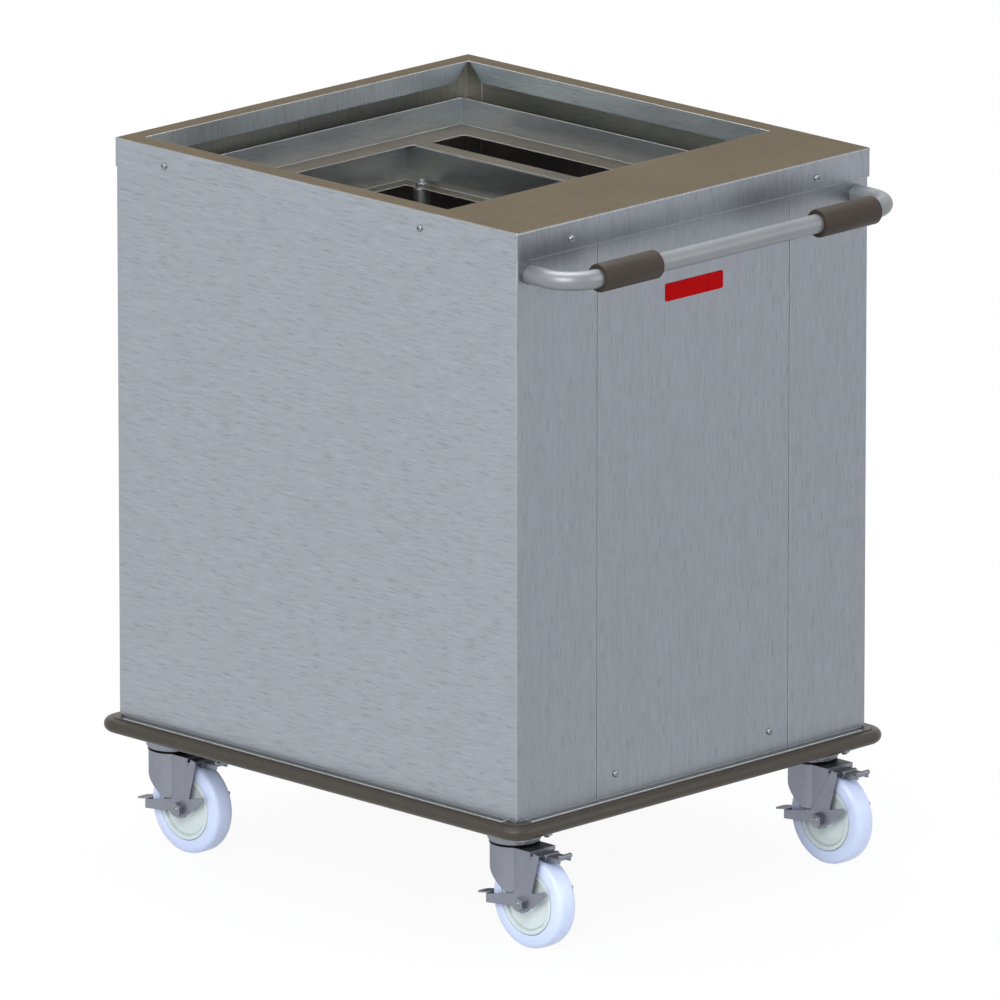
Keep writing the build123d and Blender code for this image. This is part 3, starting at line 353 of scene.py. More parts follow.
def set_at_places(tree, source, sink, shape):
    """Stand one copy of a shape at each place, pointing its way, and turned by chance about it."""
    way = add_node(
        tree, "GeometryNodeInputNamedAttribute", {"Name": "facing"}, data_type="FLOAT_VECTOR"
    ).outputs[0]
    turn = add_node(tree, "FunctionNodeAlignRotationToVector", {"Vector": way}, axis="Z")
    set_out = add_node(
        tree,
        "GeometryNodeInstanceOnPoints",
        {"Points": source["Places"], "Instance": shape, "Rotation": turn.outputs[0]},
    )
    chance = add_node(tree, "FunctionNodeRandomValue", {3: source["Turn"], "Seed": 7})
    angles = add_node(tree, "ShaderNodeCombineXYZ", {2: chance.outputs[1]})
    twist = add_node(tree, "FunctionNodeEulerToRotation", {0: angles.outputs[0]})
    turned = add_node(
        tree,
        "GeometryNodeRotateInstances",
        {"Instances": set_out.outputs[0], "Rotation": twist.outputs[0], "Local Space": True},
    )
    real = add_node(tree, "GeometryNodeRealizeInstances", {0: turned.outputs[0]})
    dressed = {"Geometry": real.outputs[0], "Material": source["Finish"]}
    finished = add_node(tree, "GeometryNodeSetMaterial", dressed)
    tree.links.new(finished.outputs[0], sink["Pieces"])


def stand_at(tree, shape, height, turn=(0.0, 0.0, 0.0)):
    """Turn a shape about the origin, and lift it to a height."""
    lift = add_node(tree, "ShaderNodeCombineXYZ", {2: height}).outputs[0]
    return add_node(
        tree, "GeometryNodeTransform", {"Geometry": shape, "Translation": lift, "Rotation": turn}
    ).outputs[0]


def reshape(tree, blank, flat, radius, height):
    """Put a unit blank's points at a radius along their flat direction, and at a height."""
    spread = vector_sum(tree, "SCALE", flat, factor=radius)[0]
    lift = add_node(tree, "ShaderNodeCombineXYZ", {2: height}).outputs[0]
    moved = vector_sum(tree, "ADD", spread, lift)[0]
    return add_node(
        tree, "GeometryNodeSetPosition", {"Geometry": blank, "Position": moved}
    ).outputs[0]


def size_inputs(*labels):
    """The sockets of a recipe: its places, its sizes, its random turn and its finish."""
    return (
        [("Places", "NodeSocketGeometry", None)]
        + [(label, "NodeSocketFloat", 0.01) for label in labels]
        + [("Turn", "NodeSocketFloat", 0.0), ("Finish", "NodeSocketMaterial", None)]
    )


def pan_screw_recipe():
    """A domed head with a cross cut in it, on a plain shank."""
    tree, source, sink = start_group(
        "pan screw",
        size_inputs("Head width", "Head height", "Shank width", "Shank length", "Cross depth"),
        [("Pieces", "NodeSocketGeometry")],
        "GeometryNodeTree",
    )
    blank = add_node(
        tree,
        "GeometryNodeMeshCylinder",
        {"Vertices": 32, "Fill Segments": 10, "Radius": 1.0, "Depth": 2.0},
        fill_type="TRIANGLE_FAN",
    )
    spot = add_node(tree, "GeometryNodeInputPosition").outputs[0]
    parts = add_node(tree, "ShaderNodeSeparateXYZ", {0: spot}).outputs
    flat = add_node(tree, "ShaderNodeCombineXYZ", {0: parts["X"], 1: parts["Y"]}).outputs[0]
    out = calculate(tree, "MINIMUM", vector_sum(tree, "LENGTH", flat)["Value"], 1.0)
    dome = calculate(tree, "SUBTRACT", 1.0, calculate(tree, "POWER", out, 3.0))
    dome = calculate(tree, "POWER", dome, 0.5)
    rim = 0.28
    dome = calculate(tree, "ADD", calculate(tree, "MULTIPLY", dome, 1.0 - rim), rim)
    top = calculate(tree, "GREATER_THAN", parts["Z"], 0.0)
    rise = calculate(tree, "MULTIPLY", dome, top)
    rise = calculate(tree, "MULTIPLY", rise, source["Head height"])
    radius = calculate(tree, "MULTIPLY", source["Head width"], 0.5)
    head = reshape(tree, blank.outputs[0], flat, radius, rise)
    cut = add_node(
        tree, "GeometryNodeMeshBoolean", {0: head}, operation="DIFFERENCE", solver="EXACT"
    )
    cross_span, cross_slot = 0.56, 0.13
    cross_length = calculate(tree, "MULTIPLY", source["Head width"], cross_span)
    cross_width = calculate(tree, "MULTIPLY", source["Head width"], cross_slot)
    cross_height = calculate(tree, "MULTIPLY", source["Cross depth"], 2.0)
    for first, second in ((cross_length, cross_width), (cross_width, cross_length)):
        size = add_node(tree, "ShaderNodeCombineXYZ", {0: first, 1: second, 2: cross_height})
        bar = add_node(tree, "GeometryNodeMeshCube", {"Size": size.outputs[0]}).outputs[0]
        tree.links.new(stand_at(tree, bar, source["Head height"]), cut.inputs[1])
    shank_radius = calculate(tree, "MULTIPLY", source["Shank width"], 0.5)
    shank = add_node(
        tree,
        "GeometryNodeMeshCylinder",
        {"Vertices": 16, "Radius": shank_radius, "Depth": source["Shank length"]},
    )
    down = calculate(tree, "MULTIPLY", source["Shank length"], -0.5)
    both = add_node(tree, "GeometryNodeJoinGeometry", {0: cut.outputs[0]})
    tree.links.new(stand_at(tree, shank.outputs[0], down), both.inputs[0])
    set_at_places(tree, source, sink, both.outputs[0])
    return tree


screw_steel = satin_sheet(
    "bright screw steel",
    sides=(0.29, 0.305, 0.32),
    ends=(0.29, 0.305, 0.32),
    level=(0.29, 0.305, 0.32),
    edge=(0.42, 0.435, 0.45),
    along=(300.0, 300.0, 300.0),
    across=(300.0, 300.0, 300.0),
    rough=0.30,
    edge_width=0.0004,
)
pan_screw = pan_screw_recipe()
screw_sizes = {
    "head_width": 0.0095,
    "head_height": 0.003,
    "shank_width": 0.005,
    "shank_length": 0.009,
    "cross_depth": 0.0014,
    "turn": 1.57,
    "finish": screw_steel,
}
skirt_screw_height = 0.948
skirt_half_width = 0.330
skirt_near, skirt_far = -0.338, 0.408
side_screw_rows = (-0.160, 0.316)
end_screw_offset = 0.230
skirt_places = [
    (Vector((side * skirt_half_width, along, skirt_screw_height)), (side, 0.0, 0.0))
    for side in (-1, 1)
    for along in side_screw_rows
]
skirt_places += [
    (Vector((side * end_screw_offset, end, skirt_screw_height)), (0.0, way, 0.0))
    for side in (-1, 1)
    for end, way in ((skirt_near, -1.0), (skirt_far, 1.0))
]
deck_screws = make_from_recipe("deck_screw_set", pan_screw, skirt_places, **screw_sizes)
panel_face = -0.3365
foot_screw_offset, foot_screw_height = 0.145, 0.210
foot_places = [
    (Vector((side * foot_screw_offset, panel_face, foot_screw_height)), (0.0, -1.0, 0.0))
    for side in (-1, 1)
]
access_screws = make_from_recipe("access_screw_set", pan_screw, foot_places, **screw_sizes)
for screws, node in ((deck_screws, "deck_screws"), (access_screws, "access_panel_screws")):
    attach(screws, "cabinet")
    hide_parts(node)


# Base frame and bumper rail: a welded sheet base behind the panels, with four straight lengths of
# lipped channel fixed to it that hold the bumper, painted bright as a painted highlight along its
# lip. Same stainless, the base a little duller.
lengthways = (42.0, 520.0, 520.0)
base_steel = satin_sheet(
    "base steel",
    sides=(0.30, 0.31, 0.32),
    ends=(0.26, 0.27, 0.28),
    level=(0.20, 0.18, 0.15),
    edge=(0.50, 0.52, 0.53),
    along=along_cart,
    across=lengthways,
    rough=0.42,
)
dress(base_steel, "base_frame")
# Painted highlight: the rail's sides are about twice as light as the cabinet's, for the bright
# line along its lip.
rail_steel_painted_highlight = satin_sheet(
    "rail steel with painted highlight",
    sides=(0.70, 0.73, 0.74),
    ends=(0.70, 0.73, 0.74),
    level=(0.36, 0.375, 0.375),
    edge=(0.88, 0.90, 0.91),
    along=along_cart,
    across=lengthways,
    rough=0.25,
    edge_width=0.001,
    tint=(0.6, 0.6, 0.6),
)
dress(rail_steel_painted_highlight, "bumper_rail")


# Bumper: an extruded rubber strip held between the rail's lips, with a round bead that stands out
# all round the base. It is a warm dark grey with a low sheen, scuffed where it meets door frames.
def moulded_group():
    """The skin of a moulded or extruded piece: soft mottle, fine pores and scuffs."""
    tree, source, sink = start_group(
        "moulded skin",
        [("Scale", "NodeSocketFloat", 100.0)],
        [
            ("Mottle", "NodeSocketFloat"),
            ("Pores", "NodeSocketFloat"),
            ("Scuffs", "NodeSocketFloat"),
        ],
    )
    place = add_node(tree, "ShaderNodeTexCoord").outputs["Object"]
    sized = vector_sum(tree, "SCALE", place, factor=source["Scale"])[0]
    mottle = add_node(tree, "ShaderNodeTexNoise", {"Vector": sized, "Scale": 0.25, "Detail": 4.0})
    pores = add_node(tree, "ShaderNodeTexNoise", {"Vector": sized, "Scale": 9.0, "Detail": 2.0})
    patchy = {"Vector": sized, "Scale": 0.6, "Detail": 6.0, "Roughness": 0.7}
    scuffs = add_node(tree, "ShaderNodeTexNoise", patchy)
    tree.links.new(mottle.outputs[0], sink["Mottle"])
    tree.links.new(pores.outputs[0], sink["Pores"])
    tree.links.new(rescale(tree, scuffs.outputs[0], 0.58, 0.75, 0.0, 1.0), sink["Scuffs"])
    return tree


moulded_skin = moulded_group()


def moulded(name, colour, scuffed, rough, scale, scuff_share, pore_depth, **values):
    """A rubber, plastic or enamel finish, lighter or duller where it is scuffed and along its
    edges.
    """
    material, tree, surface = start_material(name, **values)
    skin = place_group(tree, moulded_skin, {"Scale": scale})
    edge_sheen_and_wear = place_group(tree, edge_highlight_and_wear, {"Width": 0.0008})
    wear = calculate(tree, "MAXIMUM", skin["Scuffs"], edge_sheen_and_wear["Edge"])
    wear = calculate(tree, "MULTIPLY", wear, scuff_share)
    shade = rescale(tree, skin["Mottle"], 0.3, 0.7, 0.95, 1.05)
    tone = mix_colours(tree, wear, (*colour, 1.0), (*scuffed, 1.0))
    tone = vector_sum(tree, "SCALE", tone, factor=shade)[0]
    tree.links.new(tone, surface.inputs["Base Color"])
    roughness = rescale(tree, skin["Mottle"], 0.3, 0.7, rough - 0.05, rough + 0.05)
    tree.links.new(roughness, surface.inputs["Roughness"])
    bump = add_node(
        tree,
        "ShaderNodeBump",
        {
            "Height": skin["Pores"],
            "Normal": edge_sheen_and_wear["Normal"],
            "Strength": 0.4,
            "Distance": pore_depth,
        },
    )
    tree.links.new(bump.outputs[0], surface.inputs["Normal"])
    return material


bumper_rubber = moulded(
    "bumper rubber",
    colour=(0.047, 0.040, 0.031),
    scuffed=(0.075, 0.066, 0.055),
    rough=0.38,
    scale=90.0,
    scuff_share=0.4,
    pore_depth=0.0001,
    Specular_IOR_Level=0.28,
)
dress(bumper_rubber, "bumper")


# Castors: a pressed plate with its swivel race, a forked shell, and a brake frame and pedal, all
# zinc plated. Each plate hangs under the base on four bolts with nuts, the underside of its race
# painted near black as painted shade under the base.
castor_zinc = satin_sheet(
    "castor zinc",
    sides=(0.27, 0.285, 0.335),
    ends=(0.24, 0.252, 0.297),
    level=(0.20, 0.205, 0.225),
    edge=(0.40, 0.415, 0.455),
    along=(120.0, 120.0, 120.0),
    across=(120.0, 120.0, 120.0),
    rough=0.42,
    edge_width=0.001,
    marks=0.25,
    tint=(0.75, 0.75, 0.75),
)
castors = {
    "near_left": Vector((-0.281, -0.285, 0.0)),
    "near_right": Vector((0.281, -0.285, 0.0)),
    "far_left": Vector((-0.281, 0.355, 0.0)),
    "far_right": Vector((0.281, 0.355, 0.0)),
}
race_shade_top = 0.1393
race_finish = castor_zinc.copy()
race_finish.name = "castor zinc with painted race shade"
tree = race_finish.node_tree
surface = tree.nodes["Principled BSDF"]
spot = add_node(tree, "ShaderNodeTexCoord").outputs["Object"]
height = add_node(tree, "ShaderNodeSeparateXYZ", {0: spot}).outputs["Z"]
# Painted shade: the plate below this height, its race, is coloured near black where the base
# shades it.
race_shade_mask = calculate(tree, "LESS_THAN", height, race_shade_top)
plain = surface.inputs["Base Color"].links[0].from_socket
race_shaded = mix_colours(tree, race_shade_mask, plain, (0.012, 0.011, 0.010, 1.0))
tree.links.new(race_shaded, surface.inputs["Base Color"])
for corner in castors:
    dress(race_finish, f"{corner}_castor_plate")
    dress(
        castor_zinc,
        f"{corner}_castor_fork",
        f"{corner}_castor_brake_frame",
        f"{corner}_castor_brake_pedal",
    )


def hexagon(tree, flats, height, seat, flip):
    """A hexagonal head or nut on its seat, its far corners turned off at thirty degrees."""
    corner_share, crown_share = 0.57735, 0.475
    slope, over, under = 1.732, 0.1, 0.5
    radius = calculate(tree, "MULTIPLY", flats, corner_share)
    block = add_node(
        tree, "GeometryNodeMeshCylinder", {"Vertices": 6, "Radius": radius, "Depth": height}
    ).outputs[0]
    block = stand_at(tree, block, calculate(tree, "MULTIPLY", height, 0.5))
    crown = calculate(tree, "MULTIPLY", flats, crown_share)
    tip = calculate(tree, "SUBTRACT", crown, calculate(tree, "MULTIPLY", height, slope * over))
    rise = calculate(tree, "MULTIPLY", height, slope * (1.0 + under))
    foot = calculate(tree, "ADD", crown, rise)
    depth = calculate(tree, "MULTIPLY", height, 1.0 + over + under)
    cone = add_node(
        tree,
        "GeometryNodeMeshCone",
        {"Vertices": 48, "Radius Top": tip, "Radius Bottom": foot, "Depth": depth},
    ).outputs[0]
    cone = stand_at(tree, cone, calculate(tree, "MULTIPLY", height, -under))
    turned = add_node(tree, "GeometryNodeMeshBoolean", operation="INTERSECT", solver="EXACT")
    tree.links.new(block, turned.inputs[1])
    tree.links.new(cone, turned.inputs[1])
    return stand_at(tree, turned.outputs[0], seat, (math.pi if flip else 0.0, 0.0, 0.0))


def threaded_rod(tree, width, top, bottom, pitch):
    """A rod with a screw thread along it, between two heights."""
    steps_per_turn, thread_depth = 4.0, 0.6
    length = calculate(tree, "SUBTRACT", top, bottom)
    turn_count = calculate(tree, "DIVIDE", length, pitch)
    steps = calculate(tree, "MULTIPLY", turn_count, steps_per_turn)
    blank = add_node(
        tree,
        "GeometryNodeMeshCylinder",
        {"Vertices": 20, "Side Segments": steps, "Radius": 1.0, "Depth": length},
    )
    spot = add_node(tree, "GeometryNodeInputPosition").outputs[0]
    parts = add_node(tree, "ShaderNodeSeparateXYZ", {0: spot}).outputs
    angle = calculate(tree, "ARCTAN2", parts["Y"], parts["X"])
    turns = calculate(tree, "DIVIDE", angle, 2.0 * math.pi)
    turns = calculate(tree, "SUBTRACT", calculate(tree, "DIVIDE", parts["Z"], pitch), turns)
    wave = calculate(tree, "PINGPONG", turns, 0.5)
    cut = calculate(tree, "MULTIPLY", pitch, 2.0 * thread_depth)
    depth = calculate(tree, "MULTIPLY", cut, wave)
    radius = calculate(tree, "SUBTRACT", calculate(tree, "MULTIPLY", width, 0.5), depth)
    flat = add_node(tree, "ShaderNodeCombineXYZ", {0: parts["X"], 1: parts["Y"]}).outputs[0]
    middle = calculate(tree, "MULTIPLY", calculate(tree, "ADD", top, bottom), 0.5)
    height = calculate(tree, "ADD", parts["Z"], middle)
    return reshape(tree, blank.outputs[0], flat, radius, height)


def bolt_recipe():
    """A threaded rod between a head or nut on one seat and a nut on the other."""
    tree, source, sink = start_group(
        "bolt and nuts",
        size_inputs(
            "Flats",
            "Upper height",
            "Upper seat",
            "Lower height",
            "Lower seat",
            "Rod width",
            "Rod top",
            "Rod bottom",
            "Pitch",
        ),
        [("Pieces", "NodeSocketGeometry")],
        "GeometryNodeTree",
    )
    upper = hexagon(tree, source["Flats"], source["Upper height"], source["Upper seat"], False)
    lower = hexagon(tree, source["Flats"], source["Lower height"], source["Lower seat"], True)
    rod = threaded_rod(
        tree, source["Rod width"], source["Rod top"], source["Rod bottom"], source["Pitch"]
    )
    together = add_node(tree, "GeometryNodeJoinGeometry", {0: upper})
    tree.links.new(lower, together.inputs[0])
    tree.links.new(rod, together.inputs[0])
    set_at_places(tree, source, sink, together.outputs[0])
    return tree


zinc = satin_sheet(
    "zinc plating",
    sides=(0.27, 0.285, 0.315),
    ends=(0.27, 0.285, 0.315),
    level=(0.34, 0.35, 0.365),
    edge=(0.50, 0.51, 0.53),
    along=(300.0, 300.0, 300.0),
    across=(300.0, 300.0, 300.0),
    rough=0.32,
    edge_width=0.0005,
)
bolt_and_nuts = bolt_recipe()
bolt_seat = 0.1595
bolt_across, bolt_along = 0.0225, 0.0375
bolt_places = [
    (centre + Vector((bolt_across * across, bolt_along * along, bolt_seat)), (0.0, 0.0, 1.0))
    for centre in castors.values()
    for across in (-1, 1)
    for along in (-1, 1)
]
castor_bolts = make_from_recipe(
    "castor_bolt_set",
    bolt_and_nuts,
    bolt_places,
    flats=0.013,
    upper_height=0.0053,
    upper_seat=0.0,
    lower_height=0.0065,
    lower_seat=-0.006,
    rod_width=0.008,
    rod_top=0.001,
    rod_bottom=-0.015,
    pitch=0.00125,
    turn=0.0,
    finish=zinc,
)
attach(castor_bolts, "cabinet")
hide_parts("castor_bolts")


# Wheels: a hard bluish white tread moulded over a paler hub, which turns on a bush. The axle bolt
# goes through the fork and the brake frame, its nut on the left side of the cart.
def turned_piece(name, outline, centre, material, steps=96):
    """A closed ring turned about a line across the cart, from its outline of (along, radius)."""
    count = len(outline)
    spots = []
    for step in range(steps):
        angle = 2.0 * math.pi * step / steps
        for along, radius in outline:
            spots.append(
                (
                    centre.x + along,
                    centre.y + radius * math.cos(angle),
                    centre.z + radius * math.sin(angle),
                )
            )
    faces = []
    for step in range(steps):
        here, there = step * count, (step + 1) % steps * count
        for point in range(count):
            after = (point + 1) % count
            faces.append((here + point, there + point, there + after, here + after))
    mesh = bpy.data.meshes.new(name)
    mesh.from_pydata(spots, [], faces)
    build = bmesh.new()
    build.from_mesh(mesh)
    bmesh.ops.recalc_face_normals(build, faces=build.faces)
    build.to_mesh(mesh)
    build.free()
    soften(mesh, 28.0)
    mesh.materials.append(material)
    piece = bpy.data.objects.new(name, mesh)
    bpy.context.collection.objects.link(piece)
    return piece


def mirrored(half):
    """Complete an outline in mm from its right half, listed from the outside inwards."""
    right = [(along / 1000.0, radius / 1000.0) for along, radius in half]
    return right + [(-along, radius) for along, radius in reversed(right)]


tyre_polymer = moulded(
    "wheel tread polymer",
    colour=(0.62, 0.71, 0.93),
    scuffed=(0.50, 0.58, 0.78),
    rough=0.35,
    scale=60.0,
    scuff_share=0.3,
    pore_depth=0.00005,
)
hub_polymer = moulded(
    "wheel hub polymer",
    colour=(0.64, 0.72, 0.72),
    scuffed=(0.54, 0.60, 0.60),
    rough=0.4,
    scale=60.0,
    scuff_share=0.3,
    pore_depth=0.00005,
)
tyre_outline = mirrored(
    (
        (5.0, 63.45),
        (9.5, 63.15),
        (12.2, 62.3),
        (14.1, 60.6),
        (15.2, 58.2),
        (15.8, 55.0),
        (16.0, 51.0),
        (16.0, 46.2),
        (15.7, 45.5),
        (15.0, 45.05),
    )
)
tyre_outline.insert(0, (0.0, 0.0635))
hub_outline = mirrored(
    (
        (12.5, 44.95),
        (12.5, 44.1),
        (15.1, 44.1),
        (15.5, 43.6),
        (15.5, 39.4),
        (15.1, 38.9),
        (11.0, 38.3),
        (10.6, 37.9),
        (10.6, 37.2),
        (12.0, 36.8),
        (12.0, 17.0),
        (12.5, 15.3),
        (14.0, 14.4),
        (19.5, 14.0),
        (20.2, 13.3),
        (20.2, 8.2),
        (19.8, 7.7),
    )
)
trail, wheel_radius = 0.037, 0.0635
for corner, centre in castors.items():
    axle = centre + Vector((0.0, -trail, wheel_radius))
    tyre = turned_piece(f"{corner}_tyre", tyre_outline, axle, tyre_polymer)
    hub = turned_piece(f"{corner}_hub", hub_outline, axle, hub_polymer)
    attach(tyre, f"{corner}_wheel")
    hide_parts(f"{corner}_castor_tyre")
    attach(hub, f"{corner}_wheel")
    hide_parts(f"{corner}_castor_hub")
    axle_set = make_from_recipe(
        f"{corner}_axle_bolt",
        bolt_and_nuts,
        [(axle, (1.0, 0.0, 0.0))],
        flats=0.017,
        upper_height=0.0064,
        upper_seat=0.0255,
        lower_height=0.008,
        lower_seat=-0.0255,
        rod_width=0.010,
        rod_top=0.026,
        rod_bottom=-0.035,
        pitch=0.0015,
        turn=0.0,
        finish=zinc,
    )
    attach(axle_set, f"{corner}_fork")
    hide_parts(f"{corner}_castor_axle")


# Guide channels, hanger bar and buffers: inside the cabinet, behind the access panel. The channels
# are welded to the base, the bar hangs from them, and rubber buffers stop the carriage under it.
dress(base_steel, "left_guide_channel", "right_guide_channel", "hanger_bar")
buffer_rubber = moulded(
    "buffer rubber",
    colour=(0.02, 0.02, 0.02),
    scuffed=(0.05, 0.05, 0.05),
    rough=0.6,
    scale=120.0,
    scuff_share=0.3,
    pore_depth=0.0002,
)
dress(buffer_rubber, "stop_buffers")


# Carriage: the pan that takes the trays, with a pressed well on four posts, and two arms to the
# back plate that runs in the channels. It is the same satin stainless, painted lighter than the
# cabinet as painted light inside the well, its upright faces lighter above a line and warmer
# below.
carriage_steel = satin_sheet(
    "satin carriage steel",
    sides=(0.45, 0.505, 0.555),
    ends=(0.44, 0.495, 0.545),
    level=(0.23, 0.20, 0.16),
    edge=(0.60, 0.62, 0.63),
    along=along_cart,
    across=lengthways,
    rough=0.34,
    tint=(0.62, 0.6, 0.57),
)
pan_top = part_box("carriage_pan")[1][2]
# Painted light and shade: upright faces are a little lighter above the line, and darker and warmer
# below it.
paint_light_inside(
    carriage_steel,
    half_width=0.5,
    front=-0.5,
    back=0.5,
    line=pan_top - 0.037,
    above=(1.08, 1.05, 1.02),
    below=(1.0, 0.95, 0.87),
)
dress(carriage_steel, "carriage_pan", "carriage_well", "carriage_posts")
dress(base_steel, "carriage_arms", "carriage_back_plate")
stud_bottom, stud_top = (corner[2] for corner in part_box("post_studs"))
stud_seat = 0.8425
lower_nut_top = 0.007
stud_offset, stud_rows = 0.1315, (-0.109, 0.298)
stud_places = [
    (Vector((across * stud_offset, along, stud_seat)), (0.0, 0.0, 1.0))
    for across in (-1, 1)
    for along in stud_rows
]
post_studs = make_from_recipe(
    "post_stud_set",
    bolt_and_nuts,
    stud_places,
    flats=0.013,
    upper_height=0.005,
    upper_seat=0.0,
    lower_height=0.005,
    lower_seat=stud_bottom + lower_nut_top - stud_seat,
    rod_width=0.008,
    rod_top=stud_top - stud_seat,
    rod_bottom=stud_bottom - stud_seat,
    pitch=0.00125,
    turn=1.0,
    finish=zinc,
)
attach(post_studs, "carriage")
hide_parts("post_studs")


# Rollers: four turned wheels of natural nylon, two on each edge of the back plate. Each runs on a
# zinc plated bolt through the plate, inside its guide channel, and keeps the carriage level.
dress(zinc, "roller_axles")
nylon = moulded(
    "nylon",
    colour=(0.66, 0.64, 0.56),
    scuffed=(0.5, 0.48, 0.42),
    rough=0.45,
    scale=80.0,
    scuff_share=0.3,
    pore_depth=0.0001,
)
for side in ("left", "right"):
    dress(nylon, f"{side}_upper_roller", f"{side}_lower_roller")


# Springs: six close-wound extension springs with a loop at each end, hung from the hanger bar and
# hooked under the back plate. They stretch as the carriage goes down.
def spring_recipe():
    """A close coil of wire that hangs from its place, with an upright loop at each end."""
    tree, source, sink = start_group(
        "extension spring",
        size_inputs("Coil width", "Wire width", "Spring length"),
        [("Pieces", "NodeSocketGeometry")],
        "GeometryNodeTree",
    )
    loop_share, loop_fit, coil_gap = 0.8, 0.46, 1.06
    middle = calculate(tree, "SUBTRACT", source["Coil width"], source["Wire width"])
    radius = calculate(tree, "MULTIPLY", middle, 0.5)
    loops = calculate(tree, "MULTIPLY", source["Coil width"], 2.0 * loop_share)
    length = calculate(tree, "SUBTRACT", source["Spring length"], loops)
    pitch = calculate(tree, "MULTIPLY", source["Wire width"], coil_gap)
    turns = calculate(tree, "DIVIDE", length, pitch)
    coil = add_node(
        tree,
        "GeometryNodeCurveSpiral",
        {
            "Resolution": 14,
            "Rotations": turns,
            "Start Radius": radius,
            "End Radius": radius,
            "Height": length,
        },
    )
    drop = calculate(tree, "MULTIPLY", source["Coil width"], -loop_share)
    start = calculate(tree, "SUBTRACT", drop, length)
    coil = stand_at(tree, coil.outputs[0], start)
    strands = add_node(tree, "GeometryNodeJoinGeometry", {0: coil})
    wire_radius = calculate(tree, "MULTIPLY", source["Wire width"], 0.5)
    loop_radius = calculate(tree, "MULTIPLY", middle, loop_fit)
    out = calculate(tree, "ADD", loop_radius, wire_radius)
    top_loop = calculate(tree, "MULTIPLY", out, -1.0)
    low_loop = calculate(tree, "SUBTRACT", out, source["Spring length"])
    upright_turn = (math.pi / 2.0, 0.0, 0.0)
    for height in (top_loop, low_loop):
        loop = add_node(
            tree, "GeometryNodeCurvePrimitiveCircle", {"Resolution": 24, "Radius": loop_radius}
        ).outputs[0]
        tree.links.new(stand_at(tree, loop, height, upright_turn), strands.inputs[0])
    wire = add_node(
        tree, "GeometryNodeCurvePrimitiveCircle", {"Resolution": 6, "Radius": wire_radius}
    )
    drawn = add_node(
        tree,
        "GeometryNodeCurveToMesh",
        {"Curve": strands.outputs[0], "Profile Curve": wire.outputs[0], "Fill Caps": True},
    )
    set_at_places(tree, source, sink, drawn.outputs[0])
    return tree


spring_steel = satin_sheet(
    "spring steel",
    sides=(0.30, 0.31, 0.33),
    ends=(0.30, 0.31, 0.33),
    level=(0.30, 0.31, 0.33),
    edge=(0.40, 0.41, 0.43),
    along=(300.0, 300.0, 300.0),
    across=(300.0, 300.0, 300.0),
    rough=0.3,
    edge_width=0.0003,
)
spring_foot, spring_head = (corner[2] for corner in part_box("extension_springs"))
spring_count, spring_spacing, spring_row = 6, 0.044, -0.266
middle = (spring_count - 1) / 2.0
spring_places = [
    (Vector((spring_spacing * (number - middle), spring_row, spring_head)), (0.0, 0.0, 1.0))
    for number in range(spring_count)
]
springs = make_from_recipe(
    "extension_spring_set",
    spring_recipe(),
    spring_places,
    coil_width=0.022,
    wire_width=0.0025,
    spring_length=spring_head - spring_foot,
    turn=0.0,
    finish=spring_steel,
)
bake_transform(springs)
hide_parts("extension_springs")


# Push handle: one polished stainless tube with two bends, its ends set through the handle end of
# the cabinet and clamped behind it by backing plates.
tube_steel = moulded(
    "handle tube steel",
    colour=(0.20, 0.212, 0.222),
    scuffed=(0.24, 0.252, 0.262),
    rough=0.40,
    scale=60.0,
    scuff_share=0.3,
    pore_depth=0.00002,
    Metallic=0.45,
)
dress(tube_steel, "handle_tube")
dress(base_steel, "handle_backing_plates")


# Grips: two rubber sleeves pushed over the tube, matt, in the same warm dark grey as the bumper,
# with rounded ends and a shallow turned-in mouth round the tube.
grip_rubber = moulded(
    "grip rubber",
    colour=(0.038, 0.029, 0.022),
    scuffed=(0.060, 0.050, 0.040),
    rough=0.55,
    scale=150.0,
    scuff_share=0.25,
    pore_depth=0.0002,
    Specular_IOR_Level=0.2,
)
grip_outline = mirrored(
    (
        (51.2, 19.0),
        (52.1, 18.6),
        (52.5, 17.7),
        (52.5, 13.9),
        (52.2, 13.2),
        (51.4, 12.85),
    )
)
grip_centre = Vector((0.2045, -0.4125, 0.913))
for label, side in (("left", -1), ("right", 1)):
    centre = Vector((side * grip_centre.x, grip_centre.y, grip_centre.z))
    grip = turned_piece(f"{label}_grip", grip_outline, centre, grip_rubber, steps=64)
    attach(grip, "cabinet")
    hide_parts("handle_grips")


# Nameplate: a thin metal plate with rounded corners in red enamel, stuck on the access panel under
# the handle. It is left plain.
red_enamel = moulded(
    "red enamel",
    colour=(0.37, 0.001, 0.002),
    scuffed=(0.39, 0.004, 0.005),
    rough=0.25,
    scale=120.0,
    scuff_share=0.2,
    pore_depth=0.00002,
    Specular_IOR_Level=0.03,
)
dress(red_enamel, "nameplate")


# Floor, backdrop, lamps and camera: a pale floor that keeps a light shadow, white all round, and
# three soft boxes. The camera looks down at the near left corner from far away.
floor_mesh = bpy.data.meshes.new("floor")
reach = 40.0
corners = [(-reach, -reach, 0.0), (reach, -reach, 0.0), (reach, reach, 0.0), (-reach, reach, 0.0)]
floor_mesh.from_pydata(corners, [], [(0, 1, 2, 3)])
floor = bpy.data.objects.new("floor", floor_mesh)
bpy.context.collection.objects.link(floor)
floor_paint, tree, surface = start_material("floor paint", Roughness=0.9)
surface.inputs["Base Color"].default_value = (0.8, 0.8, 0.8, 1.0)
rays = add_node(tree, "ShaderNodeLightPath").outputs
seen = calculate(tree, "MAXIMUM", rays["Is Camera Ray"], rays["Is Glossy Ray"])
seen = calculate(tree, "MAXIMUM", seen, rays["Is Transmission Ray"])
place = add_node(tree, "ShaderNodeTexCoord").outputs["Object"]
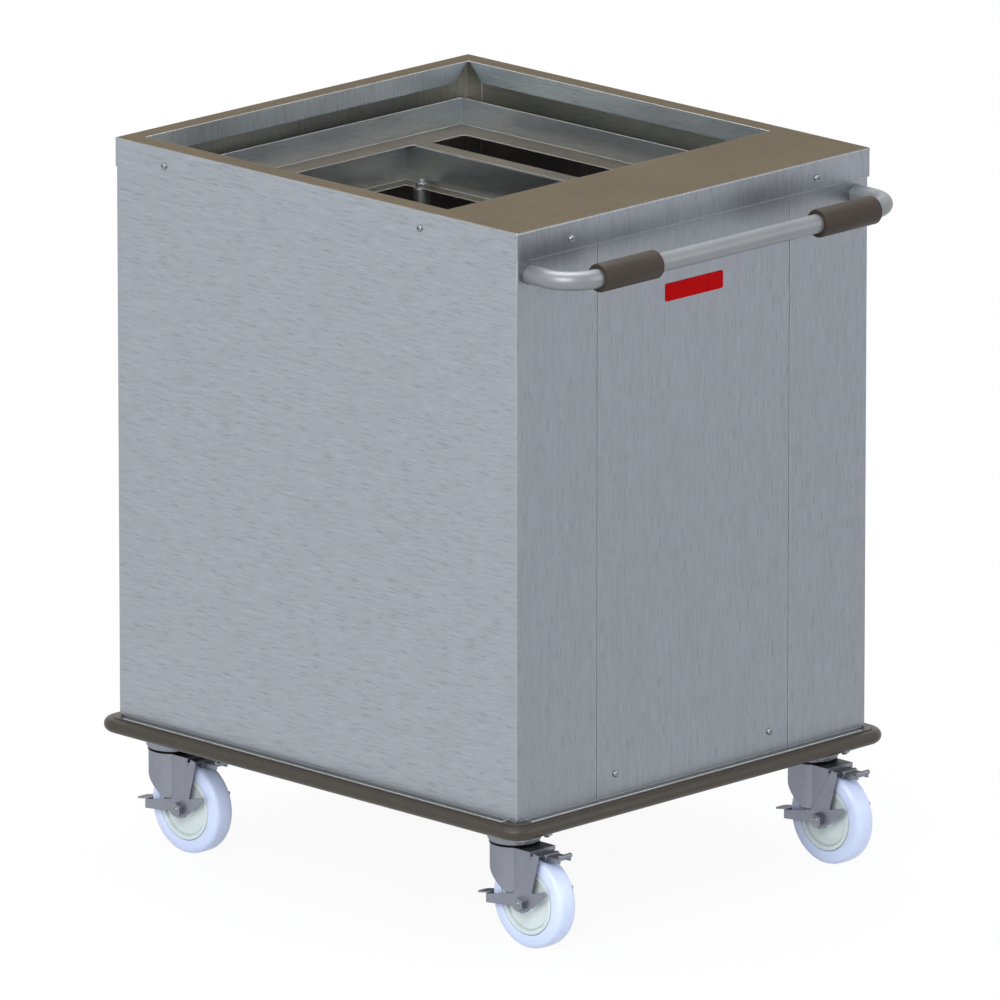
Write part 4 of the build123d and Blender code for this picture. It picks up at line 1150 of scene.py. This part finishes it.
away = vector_sum(tree, "LENGTH", place)["Value"]
share = calculate(tree, "MULTIPLY", seen, rescale(tree, away, 0.3, 0.9, 0.93, 1.0))
glow = add_node(tree, "ShaderNodeEmission", {"Color": (1.0, 1.0, 1.0, 1.0), "Strength": 1.0})
blend = {0: share, 1: surface.outputs[0], 2: glow.outputs[0]}
mixed = add_node(tree, "ShaderNodeMixShader", blend)
tree.links.new(mixed.outputs[0], tree.nodes["Material Output"].inputs["Surface"])
floor_mesh.materials.append(floor_paint)

world = bpy.data.worlds.new("studio")
bpy.context.scene.world = world
world.use_nodes = True
tree = world.node_tree
tree.nodes.clear()
rays = add_node(tree, "ShaderNodeLightPath").outputs
seen = calculate(tree, "MAXIMUM", rays["Is Camera Ray"], rays["Is Glossy Ray"])
seen = calculate(tree, "MAXIMUM", seen, rays["Is Transmission Ray"])
plain = add_node(tree, "ShaderNodeBackground", {"Color": (0.9, 0.93, 1.0, 1.0), "Strength": 0.55})
white = add_node(tree, "ShaderNodeBackground", {"Color": (1.0, 1.0, 1.0, 1.0), "Strength": 1.0})
mixed = add_node(tree, "ShaderNodeMixShader", {0: seen, 1: plain.outputs[0], 2: white.outputs[0]})
add_node(tree, "ShaderNodeOutputWorld", {"Surface": mixed.outputs[0]})


def soft_lamp(name, place, size, power):
    """A square soft box that points at the middle of the cart."""
    lamp = bpy.data.lights.new(name, "AREA")
    lamp.shape = "SQUARE"
    lamp.size = size
    lamp.energy = power
    holder = bpy.data.objects.new(name, lamp)
    holder.location = place
    aim = Vector((0.0, 0.0, 0.5)) - Vector(place)
    holder.rotation_euler = aim.to_track_quat("-Z", "Y").to_euler()
    bpy.context.collection.objects.link(holder)


soft_lamp("key lamp", (-3.2, -1.6, 2.6), size=2.2, power=110.0)
soft_lamp("fill lamp", (1.6, -3.6, 2.0), size=2.2, power=30.0)
soft_lamp("top lamp", (0.3, 0.6, 4.0), size=2.5, power=110.0)

azimuth = math.radians(-45.230)
elevation = math.radians(14.940)
right = Vector((math.cos(azimuth), math.sin(azimuth), 0.0))
back = Vector(
    (
        math.sin(azimuth) * math.cos(elevation),
        -math.cos(azimuth) * math.cos(elevation),
        math.sin(elevation),
    )
)
up = back.cross(right)
camera_data = bpy.data.cameras.new("camera")
camera_data.sensor_width = 36.0
camera_data.lens = 658.8
camera_data.clip_start = 1.0
camera_data.clip_end = 200.0
camera = bpy.data.objects.new("camera", camera_data)
aim_point = Vector((0.0, 0.035, 0.182))
sideways, upwards, distance = 0.010349, 0.291431, 24.31778
camera.location = aim_point + sideways * right + upwards * up + distance * back
camera.rotation_mode = "QUATERNION"
camera.rotation_quaternion = Matrix((right, up, back)).transposed().to_quaternion()
bpy.context.collection.objects.link(camera)
bpy.context.scene.camera = camera
bpy.context.scene.view_settings.view_transform = "Standard"
